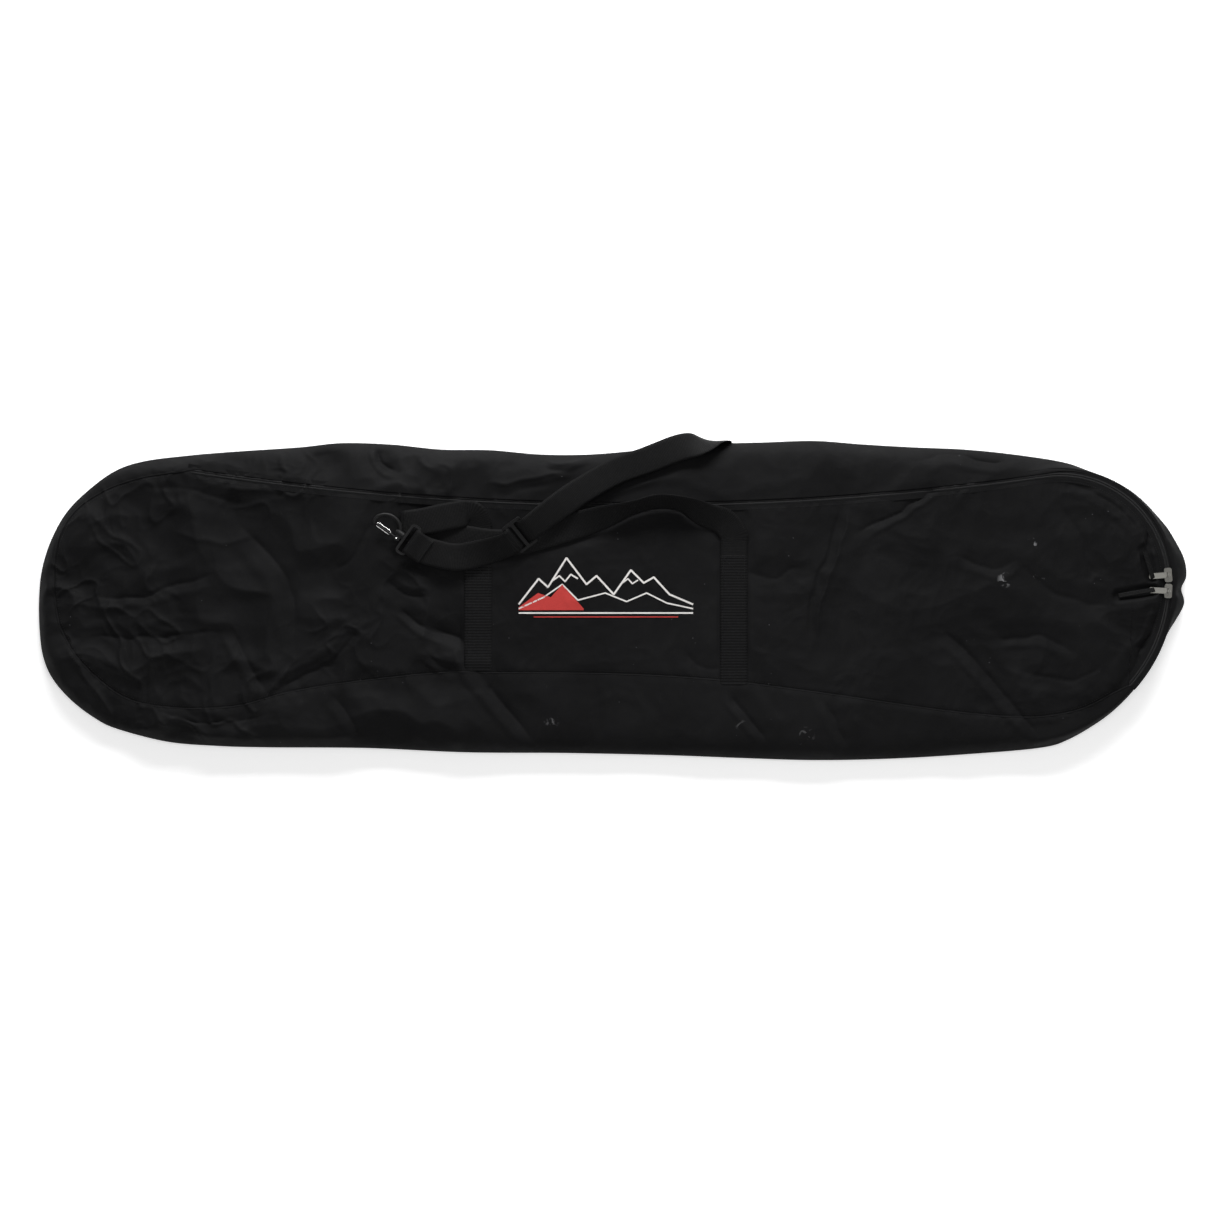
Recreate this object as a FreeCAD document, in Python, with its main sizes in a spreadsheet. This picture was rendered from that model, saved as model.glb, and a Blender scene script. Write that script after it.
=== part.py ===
import FreeCAD, Part
import math
import os

V = FreeCAD.Vector
doc = FreeCAD.newDocument("boardBag")

# ---------------------------------------------------------------- sizes (mm)
# X along the bag with the nose at +X, Y across it with the zip side at +Y, Z up from the floor.
sizes = [
    ("bagLength", 1610.0),      # tail to nose
    ("bagWidth", 434.0),        # lying flat
    ("bagHeight", 32.0),        # floor to top of the front panel
    ("clothThick", 1.2),        # coated cloth with its binding
    ("tailRadius", 170.0),      # rounded corners of the tail end
    ("noseStart", 200.0),       # length of the rounded nose
    ("rimHeight", 12.0),        # height of the outermost edge
    ("rimInset", 9.0),          # how far the top stands in from the edge
    ("footInset", 10.0),        # how far the bottom stands in from the edge
    ("zipNoseInset", 27.0),     # zip line in from the tip of the nose
    ("zipSideInset", 42.0),     # top of the zip's upper round in from the side
    ("zipLowerInset", 2.0),     # lower round's radius is half the width less this
    ("zipCenterHigh", 24.0),    # centre of both rounds above the middle line
    ("zipRunCurve", 3.44),      # radius of the long run's gentle sag as a share of its length
    ("zipStartBack", 211.0),    # zip start in from the tail
    ("zipGap", 1.2),            # between the two coils
    ("coilWide", 3.0),
    ("coilHigh", 2.4),
    ("tapeThick", 0.8),
    ("tapeReach", 10.0),        # tape edge from the zip line
    ("panelReach", 7.0),        # cloth edge from the zip line
    ("webWide", 38.0),
    ("webThick", 1.5),
    ("stripGap", 358.0),        # between the centres of the two handle strips
    ("stripInset", 104.0),      # where the handle's webbing turns, in from the zip side
    ("stripFree", 50.0),        # unsewn length of webbing below that turn
    ("printLong", 244.0),
    ("printHigh", 83.0),
    ("sliderLong", 20.0),
    ("sliderWide", 10.6),
    ("pullLong", 27.0),
    ("pullWide", 8.0),
    ("fit", 0.5),               # running clearance of the hardware
]
sheet = doc.addObject("Spreadsheet::Sheet", "sizes")
for row, (alias, value) in enumerate(sizes, start=1):
    sheet.set("A" + str(row), alias)
    sheet.set("B" + str(row), str(value))
    sheet.setAlias("B" + str(row), alias)
doc.recompute()


def size(alias):
    # the value of one row of the sheet
    return float(getattr(sheet, alias))


L = size("bagLength")
W = size("bagWidth")
H = size("bagHeight")
cloth = size("clothThick")
fit = size("fit")
web = size("webWide")
webT = size("webThick")
halfW = W / 2
nodes = {}


def addShape(label, shape, base=None, turn=None):
    # one node as a feature with its own placement
    thing = doc.addObject("Part::Feature", label)
    thing.Label = label
    thing.Shape = shape
    if base is not None:
        thing.Placement = FreeCAD.Placement(base, turn or FreeCAD.Rotation())
    nodes[label] = thing
    return thing


def solidOf(shape):
    # the clean single solid of a boolean's result
    shape = shape.removeSplitter()
    return max(shape.Solids, key=lambda one: one.Volume)


# ---------------------------------------------------------------- shell of the bag
def outline(inset, z):
    # closed plan outline at one height, moved inwards by inset
    rt = size("tailRadius") - inset
    left = -L / 2 + inset
    wide = halfW - inset
    tail = -L / 2 + size("tailRadius")
    nose = L / 2 - size("noseStart")
    c45 = math.cos(math.pi / 4)
    high = wide - rt
    edges = [
        Part.makeLine(V(tail, -wide, z), V(nose, -wide, z)),
        Part.Arc(V(nose, -wide, z), V(L / 2 - inset, 0, z), V(nose, wide, z)).toShape(),
        Part.makeLine(V(nose, wide, z), V(tail, wide, z)),
        Part.Arc(V(tail, wide, z), V(tail - rt * c45, high + rt * c45, z), V(left, high, z)).toShape(),
        Part.makeLine(V(left, high, z), V(left, -high, z)),
        Part.Arc(V(left, -high, z), V(tail - rt * c45, -high - rt * c45, z), V(tail, -wide, z)).toShape(),
    ]
    return Part.Wire(edges)


def hull(levels):
    # solid through outlines given as (height, inset), with straight walls between them
    return Part.makeLoft([outline(inset, z) for z, inset in levels], True, True)


rimZ = size("rimHeight")
rimIn = size("rimInset")
footIn = size("footInset")
outer = hull([(0, footIn), (rimZ, 0), (H, rimIn)])
inner = hull([(0, footIn + cloth), (rimZ, cloth), (H - cloth, rimIn + cloth)])
shell = outer.cut(inner)
backShape = inner.common(Part.makeBox(2 * L, 2 * W, cloth, V(-L, -W, 0)))

# ---------------------------------------------------------------- zip line as three arcs
noseTip = L / 2 - size("zipNoseInset")
rB = halfW - size("zipSideInset") - size("zipCenterHigh")
rC = halfW - size("zipLowerInset")
centerB = V(noseTip - rB, size("zipCenterHigh"), 0)
centerC = V(noseTip - rC, size("zipCenterHigh"), 0)
turnB = 98.0                                     # degrees where the long run meets the nose round
flapHigh = 80.0                                  # upper end of the flap's share of the nose round
flapLow = -33.0                                  # lower end of the flap's share of the lower round
zipLow = -42.0                                   # where the zip ends
runEnd = V(centerB.x + rB * math.cos(math.radians(turnB)), centerB.y + rB * math.sin(math.radians(turnB)), 0)
noseWay = V(math.cos(math.radians(turnB)), math.sin(math.radians(turnB)), 0)
startX = -L / 2 + size("zipStartBack")
rA = size("zipRunCurve") * (runEnd.x - startX)
centerA = runEnd + noseWay * rA                   # the long run's centre lies beyond the zip, so it sags
startA = -180 + math.degrees(math.acos((centerA.x - startX) / rA))
endA = turnB - 180
arcRun = (centerA, rA, startA, endA, -1)         # centre, radius, first and last angle, side that is outwards
arcNose = (centerB, rB, turnB, 0.0, 1)
arcLower = (centerC, rC, 0.0, zipLow, 1)


def onArc(arc, angle, off, z):
    # point of an arc moved outwards by off
    center, radius, first, last, side = arc
    r = radius + side * off
    a = math.radians(angle)
    return V(center.x + r * math.cos(a), center.y + r * math.sin(a), z)


def arcEdge(arc, first, last, off, z):
    # piece of an arc moved outwards by off
    return Part.Arc(onArc(arc, first, off, z), onArc(arc, (first + last) / 2, off, z), onArc(arc, last, off, z)).toShape()


def band(arcs, low, high, z0, z1):
    # flat strip between two offsets of a chain of arcs
    outside = [arcEdge(a, a[2], a[3], high, z0) for a in arcs]
    inside = [arcEdge(a, a[3], a[2], low, z0) for a in reversed(arcs)]
    endLine = Part.makeLine(outside[-1].Vertexes[-1].Point, inside[0].Vertexes[0].Point)
    startLine = Part.makeLine(inside[-1].Vertexes[-1].Point, outside[0].Vertexes[0].Point)
    wire = Part.Wire(outside + [endLine] + inside + [startLine])
    return Part.Face(wire).extrude(V(0, 0, z1 - z0))


def part(arc, first, last):
    # shorter piece of an arc
    return (arc[0], arc[1], first, last, arc[4])


reach = size("panelReach")
tapeReach = size("tapeReach")
gap = size("zipGap") / 2
coil = size("coilWide")
coilTop = H - 0.4
coilLow = coilTop - size("coilHigh")
tapeTop = H - cloth
tapeLow = tapeTop - size("tapeThick")
cutAngle = 0.4
flapArcs = [part(arcNose, flapHigh - cutAngle, 0.0), part(arcLower, 0.0, flapLow + cutAngle)]
runArcs = [arcRun, part(arcNose, turnB, flapHigh)]
lowArcs = [part(arcLower, flapLow, zipLow)]
rearArcs = [arcRun, arcNose, arcLower]


def tape(arcs, side):
    # woven tape beside the coil; side +1 is the outer half, -1 the inner half
    low, high = (gap + coil, tapeReach) if side > 0 else (-tapeReach, -gap - coil)
    return band(arcs, low, high, tapeLow, tapeTop)


def coilBar(arcs, side):
    # one half of the coil
    low, high = (gap, gap + coil) if side > 0 else (-gap - coil, -gap)
    return band(arcs, low, high, coilLow, coilTop)


addShape("rear_zip_tape", tape(rearArcs, 1))
addShape("rear_zip_coil", coilBar(rearArcs, 1))
addShape("front_zip_tape", tape(runArcs, -1))
addShape("front_zip_coil", coilBar(runArcs, -1))
addShape("nose_zip_tape", tape(flapArcs, -1))
addShape("nose_zip_coil", coilBar(flapArcs, -1))
addShape("lower_zip_tape", tape(lowArcs, -1))
addShape("lower_zip_coil", coilBar(lowArcs, -1))


def stop(arc, angle, ahead):
    # block that closes one end of the coil
    at = onArc(arc, angle, 0, 0)
    box = Part.makeBox(5, 8, tapeTop - coilLow + 0.4, V(0.2, -4, 0))
    box.rotate(V(0, 0, 0), V(0, 0, 1), ahead)
    box.translate(V(at.x, at.y, coilLow - 0.4))
    return box


addShape("zip_start_stop", stop(arcRun, startA, startA + 90 + 180))
addShape("zip_end_stop", stop(arcLower, zipLow, zipLow - 90))

# ---------------------------------------------------------------- front panel, flap and gussets
seam = [                                          # lower and tail seams of the front panel, as shares of the size
    (0.860, -0.590), (0.700, -0.760), (0.480, -0.680), (0.270, -0.590), (0.010, -0.480),
    (-0.300, -0.465), (-0.480, -0.540), (-0.660, -0.690), (-0.800, -0.690), (-0.905, -0.500),
    (-0.960, -0.190), (-0.960, 0.300), (-0.930, 0.520), (-0.860, 0.690), (-0.790, 0.790),
]
seamPoints = [V(x * L / 2, y * halfW, 0) for x, y in seam]
zipEnd = onArc(arcLower, zipLow, -reach, 0)
zipFirst = onArc(arcRun, startA, -reach, 0)
frontEdges = [
    arcEdge(arcRun, startA, endA, -reach, 0),
    arcEdge(arcNose, turnB, 0.0, -reach, 0),
    arcEdge(arcLower, 0.0, zipLow, -reach, 0),
]
corner = frontEdges[-1].Vertexes[-1].Point
chain = [corner] + seamPoints + [frontEdges[0].Vertexes[0].Point]
frontEdges += [Part.makeLine(a, b) for a, b in zip(chain[:-1], chain[1:])]
frontZone = Part.Face(Part.Wire(frontEdges)).extrude(V(0, 0, 2 * H))
frontPlate = solidOf(shell.common(frontZone))

hingeHigh = onArc(arcNose, flapHigh, 0, H)
hingeLow = onArc(arcLower, flapLow, 0, H)
hingeWay = (hingeHigh - hingeLow).normalize()
outward = V(hingeWay.y, -hingeWay.x, 0)           # from the hinge line towards the nose
half = 1000.0


def halfPlane(shift):
    # everything on the nose side of the hinge line, moved by shift
    a = hingeLow + outward * shift - hingeWay * half
    b = hingeLow + outward * shift + hingeWay * half
    wire = Part.makePolygon([a, b, b + outward * half, a + outward * half, a])
    return Part.Face(wire).extrude(V(0, 0, 4 * H)).translated(V(0, 0, -2 * H - H))


hingeGap = 0.5
noseSide = halfPlane(hingeGap)
tailSide = halfPlane(-hingeGap)
addShape("nose_flap_panel", solidOf(frontPlate.common(noseSide)))
addShape("front_panel", solidOf(frontPlate.cut(tailSide)))
addShape("back_panel", backShape)

bandZone = band(rearArcs, -reach, reach, -H, 3 * H)
ring = shell.cut(frontZone).cut(bandZone)
tailCut = -0.76 * L / 2
noseCut = 0.74 * L / 2
tailBox = Part.makeBox(L, 3 * W, 4 * H, V(tailCut - L, -1.5 * W, -H))
noseBox = Part.makeBox(L, 3 * W, 4 * H, V(noseCut, -1.5 * W, -H))
middle = ring.cut(tailBox).cut(noseBox)
upperBox = Part.makeBox(2 * L, 2 * W, 4 * H, V(-L, 0, -H))
addShape("tail_gusset", solidOf(ring.common(tailBox)))
addShape("nose_gusset", solidOf(ring.common(noseBox)))
addShape("upper_gusset", solidOf(middle.common(upperBox)))
addShape("lower_gusset", solidOf(middle.cut(upperBox)))

# welt that covers the lower seam
weltWide = 3.0
weltHigh = 1.0
weltPoints = [p for p in seamPoints[1:9]]
weltWire = Part.makePolygon([V(p.x, p.y + weltWide / 2, H) for p in weltPoints]
                            + [V(p.x, p.y - weltWide / 2, H) for p in reversed(weltPoints)]
                            + [V(weltPoints[0].x, weltPoints[0].y + weltWide / 2, H)])
addShape("lower_seam_welt", Part.Face(weltWire).extrude(V(0, 0, weltHigh)))

# ---------------------------------------------------------------- handle strips and print
stripX = size("stripGap") / 2
stripMid = -9.0                                   # middle between the two strips
stripTop = halfW - size("stripInset")


def seamHigh(x):
    # height of the lower seam at x, straight between its points
    for p, q in zip(seamPoints[:-1], seamPoints[1:]):
        if q.x <= x <= p.x:
            return p.y + (q.y - p.y) * (x - p.x) / (q.x - p.x)
    return seamPoints[0].y


for label, side in (("handle_strip_left", -1), ("handle_strip_right", 1)):
    middleX = stripMid + side * stripX
    low = max(seamHigh(middleX - web / 2), seamHigh(middleX), seamHigh(middleX + web / 2)) + weltWide
    strip = doc.addObject("Part::Box", label)
    strip.Label = label
    strip.setExpression("Length", "sizes.webWide")
    strip.Width = stripTop - size("stripFree") - low
    strip.setExpression("Height", "sizes.webThick")
    strip.Placement.Base = V(middleX - web / 2, low, H)
    nodes[label] = strip

printed = doc.addObject("Part::Box", "front_print")
printed.Label = "front_print"
printed.setExpression("Length", "sizes.printLong")
printed.setExpression("Width", "sizes.printHigh")
printed.Height = 0.25
printed.Placement.Base = V(stripMid - size("printLong") / 2, -0.3 * size("printHigh"), H)
nodes["front_print"] = printed


# ---------------------------------------------------------------- webbing
def ribbon(stations, wide, thick):
    # webbing through stations, each (middle, width direction) turned square to its path; its walls are flat triangles
    rings = []
    count = len(stations)
    for i, (mid, across) in enumerate(stations):
        before = stations[max(i - 1, 0)][0]
        after = stations[min(i + 1, count - 1)][0]
        along = (after - before).normalize()
        side = V(across.x, across.y, across.z)
        side = (side - along * side.dot(along)).normalize()
        up = along.cross(side)
        a = side * (wide / 2)
        b = up * (thick / 2)
        rings.append([mid + a + b, mid - a + b, mid - a - b, mid + a - b])
    corners = []
    for near, far in zip(rings[:-1], rings[1:]):
        for k in range(4):
            n = (k + 1) % 4
            if k < 2:
                corners.append((near[k], near[n], far[n]))
                corners.append((near[k], far[n], far[k]))
            else:                                  # the lower face is split along the same diagonal as the upper
                corners.append((near[k], near[n], far[k]))
                corners.append((near[n], far[n], far[k]))
    for ring in (rings[0], rings[-1]):
        corners.append((ring[0], ring[1], ring[2]))
        corners.append((ring[0], ring[2], ring[3]))
    faces = [Part.Face(Part.makePolygon([p, q, r, p])) for p, q, r in corners]
    shell = Part.makeShell(faces)
    shell.sewShape()
    solid = Part.makeSolid(shell)
    if solid.Volume < 0:
        solid.reverse()
    return solid


lx = stripMid - stripX
rx = stripMid + stripX
handleFoot = stripTop - size("stripFree") + 0.5    # where the sewn strips end and the loop begins
handlePath = [
    (V(lx, handleFoot, H + 0.3 + webT / 2), V(1, 0, 0)),
    (V(lx, stripTop - 26, H + 0.3 + webT / 2), V(1, 0, 0)),
    (V(lx, stripTop - 8, H + 0.9 + webT / 2), V(1, 0, 0)),
    (V(lx - 9, stripTop + 7, H + 6), V(0.82, 0.57, 0)),
    (V(lx - 36, stripTop + 5, H + 9.5), V(0.1, 1, 0)),
    (V(lx - 74, stripTop - 3, H + 11), V(0, 1, 0)),
    (V(lx - 100, stripTop - 7, H + 11), V(0, 1, 0)),
    (V(lx - 107, stripTop - 8, H + 7), V(0, 1, 0)),
    (V(lx - 100, stripTop - 10, H + 3.2), V(0, 1, 0)),
    (V(lx - 60, stripTop - 18, H + 2.6), V(0.1, 1, 0)),
    (V(lx - 20, stripTop - 27, H + 4.4), V(0.05, 1, 0)),
    (V(lx + 25, stripTop - 33, H + 4.4), V(0, 1, 0)),
    (V(lx + 65, stripTop - 29, H + 3.0), V(-0.05, 1, 0)),
    (V(lx + 120, stripTop - 14, H + 3.4), V(-0.2, 1, 0.02)),
    (V(lx + 170, stripTop + 1, H + 12), V(-0.2, 0.85, 0.5)),
    (V(lx + 212, stripTop + 14, H + 19), V(-0.1, 0.5, 0.85)),
    (V(lx + 252, stripTop + 24, H + 19.6), V(0, 0.5, 0.86)),
    (V(lx + 288, stripTop + 20, H + 18), V(0.3, 0.5, 0.8)),
    (V(lx + 318, stripTop + 6, H + 11), V(0.6, 0.7, 0.4)),
    (V(rx - 14, stripTop - 4, H + 5.4), V(0.9, 0.42, 0.05)),
    (V(rx, stripTop - 22, H + 2.0), V(1, 0, 0)),
    (V(rx, stripTop - 34, H + 0.4 + webT / 2), V(1, 0, 0)),
    (V(rx, handleFoot, H + 0.3 + webT / 2), V(1, 0, 0)),
]
addShape("handle_loop", ribbon(handlePath, web, webT))

# snap hook frame: x from the eye towards the tip, z up
hookBase = V(lx - 96, stripTop - 29, H + 18)
hookAngle = 145.0
hookTurn = FreeCAD.Rotation(V(0, 0, 1), hookAngle)
hookWay = hookTurn.multVec(V(1, 0, 0))
hookSide = hookTurn.multVec(V(0, 1, 0))

# three-bar slider frame: x along the strap, y across it, z its face
barsMid = V(lx + 59, stripTop - 22, H + 19)
barsAlong = V(-0.79, -0.58, -0.08).normalize()
barsAcross = V(0.55, -0.7, -0.45)
barsAcross = (barsAcross - barsAlong * barsAcross.dot(barsAlong)).normalize()
barsFace = barsAlong.cross(barsAcross)


def inBars(p, q):
    # point of the strap at p along and q above the three-bar slider's middle
    return barsMid + barsAlong * p + barsFace * q


rimTop = H - 4
strapPath = [
    (V(150, halfW + 1.4, 4.5), V(1, 0, 0)),
    (V(148, halfW + 5.2, 14), V(0.98, 0, 0.1)),
    (V(139, halfW + 5.5, 25), V(0.92, -0.1, 0.25)),
    (V(120, halfW + 0.9, H + 4), V(0.8, -0.5, 0.25)),
    (V(92, halfW - 4.7, H + 7), V(0.62, -0.78, 0.1)),
    (V(48, halfW - 22, H + 8), V(0.53, -0.85, 0)),
    (V(4, halfW - 38, H + 9), V(0.56, -0.83, 0)),
    (V(-44, halfW - 65, H + 14), V(0.6, -0.8, -0.05)),
    (V(-80, halfW - 90, H + 19), V(0.57, -0.75, -0.25)),
]
for p, q in ((-22, 3.2), (-17, 3.2), (-13, 3.1), (-10.2, 2.7), (-3.8, -2.6), (0, -3.1),
             (3.8, -2.6), (10.2, 2.7), (13, 3.1), (17, 3.2), (22, 3.0)):
    strapPath.append((inBars(p, q), barsAcross))
strapPath += [
    (V(lx + 10, stripTop - 46, H + 12), V(0.3, -0.9, -0.3)),
    (V(lx - 28, stripTop - 53, H + 11), V(0, -1, 0)),
    (V(lx - 62, stripTop - 47, H + 13), V(-0.3, -0.95, 0)),
]
for p, q in ((-20, -3.2), (-11, -3.4), (-6, -3.5), (-3.3, -2.3), (-2.4, 0), (-3.3, 2.3), (-6, 3.5), (-11, 2.4), (-17, 0.2), (-24, -1.0), (-31, -1.2)):
    strapPath.append((hookBase + hookWay * (p + 0.4) + V(0, 0, q), hookSide))
addShape("strap_webbing", ribbon(strapPath, web, webT))

# ---------------------------------------------------------------- three-bar slider
frameLong = web + 10
slotLong = web + 2
barThick = 2.6


def barsShape():
    # frame with two slots, its edges eased
    plate = Part.makeBox(30, frameLong, barThick, V(-15, -frameLong / 2, -barThick / 2))
    for x in (-11, 2.4):
        plate = plate.cut(Part.makeBox(8.6, slotLong, 3 * barThick, V(x, -slotLong / 2, -1.5 * barThick)))
    corners = [e for e in plate.Edges if abs(e.BoundBox.ZLength - barThick) < 0.01
               and abs(abs(e.BoundBox.XMin) - 15) < 0.01]
    return plate.makeFillet(3.0, corners)


barsMatrix = FreeCAD.Matrix(
    barsAlong.x, barsAcross.x, barsFace.x, barsMid.x,
    barsAlong.y, barsAcross.y, barsFace.y, barsMid.y,
    barsAlong.z, barsAcross.z, barsFace.z, barsMid.z, 0, 0, 0, 1)
barsPlace = FreeCAD.Placement(barsMatrix)
addShape("strap_adjuster", barsShape(), barsPlace.Base, barsPlace.Rotation)

# ---------------------------------------------------------------- snap hook
eyeLong = web + 9
eyeWide = 16.0
eyeThick = 4.0
barWide = 3.5


def roundPlate(long, wide, radius, thick):
    # upright-cornered plate, long along Y, its upright edges rounded
    box = Part.makeBox(wide, long, thick, V(-wide / 2, -long / 2, -thick / 2))
    upright = [e for e in box.Edges if abs(e.BoundBox.ZLength - thick) < 0.01]
    return box.makeFillet(radius, upright)


eyeRing = roundPlate(eyeLong, eyeWide, 6, eyeThick)
eyeRing = eyeRing.cut(roundPlate(eyeLong - 2 * barWide, eyeWide - 2 * barWide, 2, 3 * eyeThick))
stem = Part.makeCylinder(1.8, 13, V(eyeWide / 2 - 1, 0, 0), V(1, 0, 0))
head = Part.makeCylinder(3.4, 1.8, V(eyeWide / 2 + 11.4, 0, 0), V(1, 0, 0))
eyeShape = solidOf(eyeRing.fuse(stem).fuse(head))
addShape("hook_eye", eyeShape, hookBase, hookTurn)

hubStart = eyeWide / 2 + 0.8
hubLong = 9.8
hub = Part.makeCylinder(5.2, hubLong, V(hubStart, 0, 0), V(1, 0, 0))
arm = Part.makeBox(7.0, 8, 6.4, V(hubStart + hubLong - 8.0, 2, -3.2))
bowPoints = [V(hubStart + hubLong - 3, -3, 0), V(29, -13.5, 0), V(45, -11.5, 0), V(54, -1, 0), V(53, 7.5, 0)]
bowCurve = Part.BSplineCurve()
bowCurve.interpolate(bowPoints)
bowWire = Part.Wire(bowCurve.toShape())
rod = 2.5
ringStart = Part.Wire(Part.makeCircle(rod, bowPoints[0], bowCurve.tangent(0)[0]))
bow = bowWire.makePipeShell([ringStart], True, True)
tip = Part.makeSphere(rod, bowPoints[-1])
pivot = V(hubStart + hubLong - 3.6, 7.6, 0)
cheek = Part.makeCylinder(3.2, 6.4, V(pivot.x, pivot.y, -3.2))
hook = hub.fuse(arm).fuse(bow).fuse(tip).fuse(cheek)
hook = hook.cut(Part.makeCylinder(2.2, 40, V(0, 0, 0), V(1, 0, 0)).common(Part.makeBox(hubStart + hubLong, 8, 8, V(0, -4, -4))))
hook = hook.cut(Part.makeBox(14, 14, 2.6, V(pivot.x - 4.2, pivot.y - 3.9, -1.3)))
hook = hook.cut(Part.makeCylinder(1.0, 20, V(pivot.x, pivot.y, -10)))
addShape("snap_hook_body", solidOf(hook), hookBase, hookTurn)
addShape("gate_pin", Part.makeCylinder(1.0, 6.4, V(pivot.x, pivot.y, -3.2)), hookBase, hookTurn)

gateEnd = V(bowPoints[-1].x - rod - 0.5, 7.2, 0)
knuckle = Part.makeCylinder(2.6, 2.0, V(pivot.x, pivot.y, -1.0))
bar = Part.makeCylinder(1.6, gateEnd.x - pivot.x - 3.4, V(pivot.x + 3.4, pivot.y, 0), V(1, 0, 0))
neck = Part.makeBox(5.5, 2.4, 2.0, V(pivot.x + 0.5, pivot.y - 1.2, -1.0))
gate = solidOf(bar.fuse(knuckle).fuse(neck).cut(Part.makeCylinder(1.3, 10, V(pivot.x, pivot.y, -5))))
addShape("hook_gate", gate, hookBase, hookTurn)

# ---------------------------------------------------------------- zip sliders, pulls and pullers
sliderLong = size("sliderLong")
sliderWide = size("sliderWide")
shellThick = 1.2
plateTop = coilTop + fit
plateLow = coilLow - fit
bridgeHigh = plateTop + shellThick + 3.0          # middle of the bar that carries the pull


def sliderShape():
    # x along the zip, y outwards; open towards -x, its divider at the +x end
    top = roundPlate(sliderWide, sliderLong, 3, shellThick).translated(V(0, 0, plateTop + shellThick / 2))
    low = roundPlate(sliderWide, sliderLong, 3, shellThick).translated(V(0, 0, plateLow - shellThick / 2))
    body = top.fuse(low)
    divider = Part.makeBox(2, 0.5, plateTop - plateLow + 0.4, V(sliderLong / 2 - 4.5, -0.25, plateLow - 0.2))
    body = body.fuse(divider)
    lipIn = gap + coil + fit
    lipWide = sliderWide / 2 - lipIn
    slotTop = tapeTop + 0.4
    slotLow = tapeLow - 0.4
    for side in (-1, 1):
        y = lipIn if side > 0 else -sliderWide / 2
        body = body.fuse(Part.makeBox(13, lipWide, plateTop - slotTop + 0.1, V(-6.5, y, slotTop)))
        body = body.fuse(Part.makeBox(13, lipWide, slotLow - plateLow + 0.1, V(-6.5, y, plateLow - 0.1)))
    for x in (-5.2, 3.8):
        body = body.fuse(Part.makeBox(1.4, 2.0, bridgeHigh - plateTop - shellThick + 1.2,
                                      V(x, -1.0, plateTop + shellThick - 0.2)))
    bar = Part.makeCylinder(1.0, 10.4, V(-5.2, 0, bridgeHigh), V(1, 0, 0))
    return solidOf(body.fuse(bar))


def pullShape():
    # ring round the bridge's bar and a flat tab that runs towards -y, with a hole near its end
    ring = Part.makeCylinder(2.7, 3.0, V(-1.5, 0, 0), V(1, 0, 0))
    long = size("pullLong")
    wide = size("pullWide")
    tab = Part.makeBox(wide, long - 3, 1.4, V(-wide / 2, -long, -0.7))
    ends = [e for e in tab.Edges if abs(e.BoundBox.ZLength - 1.4) < 0.01]
    tab = tab.makeFillet(2.4, ends)
    link = Part.makeBox(3.0, 4.0, 1.4, V(-1.5, -5.6, -0.7))
    body = ring.fuse(tab).fuse(link)
    body = body.cut(Part.makeCylinder(1.5, 6, V(-3, 0, 0), V(1, 0, 0)))
    hole = roundPlate(3.0, wide - 3.4, 1.0, 6).translated(V(0, -long + 4.0, 0))
    return solidOf(body.cut(hole))


def pullerShape():
    # folded fabric strip that starts through the tab's hole
    long = size("pullLong")
    stations = []
    for y, z in ((0.0, 1.6), (-6, 1.9), (-14, 1.4), (-24, 0.6), (-34, 0.2)):
        stations.append((V(0, -long - 1.4 + y, z), V(1, 0, 0)))
    strip = ribbon(stations, 7.0, 1.6)
    post = Part.makeBox(3.4, 1.6, 3.2, V(-1.7, -long + 3.2, -0.9))
    cap = Part.makeBox(3.4, 7.2, 1.0, V(-1.7, -long - 2.4, 1.3))
    return solidOf(strip.fuse(post).fuse(cap))


restShift = sliderLong / 2 + 1.2
restHigh = math.degrees(restShift / rB)
restLow = -math.degrees(restShift / rC)
for number, arc, angle, flip in ((1, arcNose, restHigh, 0), (2, arcLower, restLow, 1)):
    at = onArc(arc, angle, 0, 0)
    # the divider points away from the other slider
    ahead = angle + 90 if flip == 0 else angle - 90
    turn = FreeCAD.Rotation(V(0, 0, 1), ahead)
    shape = sliderShape()
    addShape("zip_slider_" + str(number), shape, V(at.x, at.y, 0), turn)
    # pulls lie inwards: local -y is inwards for the upper one, +y for the lower one
    tilt = FreeCAD.Rotation(V(1, 0, 0), 3.0)
    inward = FreeCAD.Rotation(V(0, 0, 1), angle + (-90 if flip == 0 else -90))
    pullTurn = inward.multiply(tilt)
    addShape("pull_tab_" + str(number), pullShape(), V(at.x, at.y, bridgeHigh), pullTurn)
    addShape("puller_" + str(number), pullerShape(), V(at.x, at.y, bridgeHigh), pullTurn)

doc.recompute()

# ---------------------------------------------------------------- checks and export
os.makedirs("parts", exist_ok=True)
for label, thing in nodes.items():
    bad = [s for s in thing.State if s in ("Invalid", "Error")]
    shape = thing.Shape
    assert not bad, label + " is in state " + str(bad)
    assert not shape.isNull() and shape.isValid(), label + " has no valid shape"
    assert len(shape.Solids) == 1, label + " has " + str(len(shape.Solids)) + " solids"
for label, thing in nodes.items():
    thing.Shape.exportStep("parts/" + label + ".step")
print("hinge of the flap", hingeHigh, hingeLow)
print("slider angles", restHigh, restLow, "centres", centerB, centerC)
print("bars", barsMid, barsAlong, barsAcross, barsFace)
print("hook", hookBase, hookWay, hookSide, "pivot", hookTurn.multVec(pivot) + hookBase)
print("bridge", bridgeHigh, onArc(arcNose, restHigh, 0, 0), onArc(arcLower, restLow, 0, 0))
print(len(nodes), "nodes written")
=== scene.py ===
import math

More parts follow.
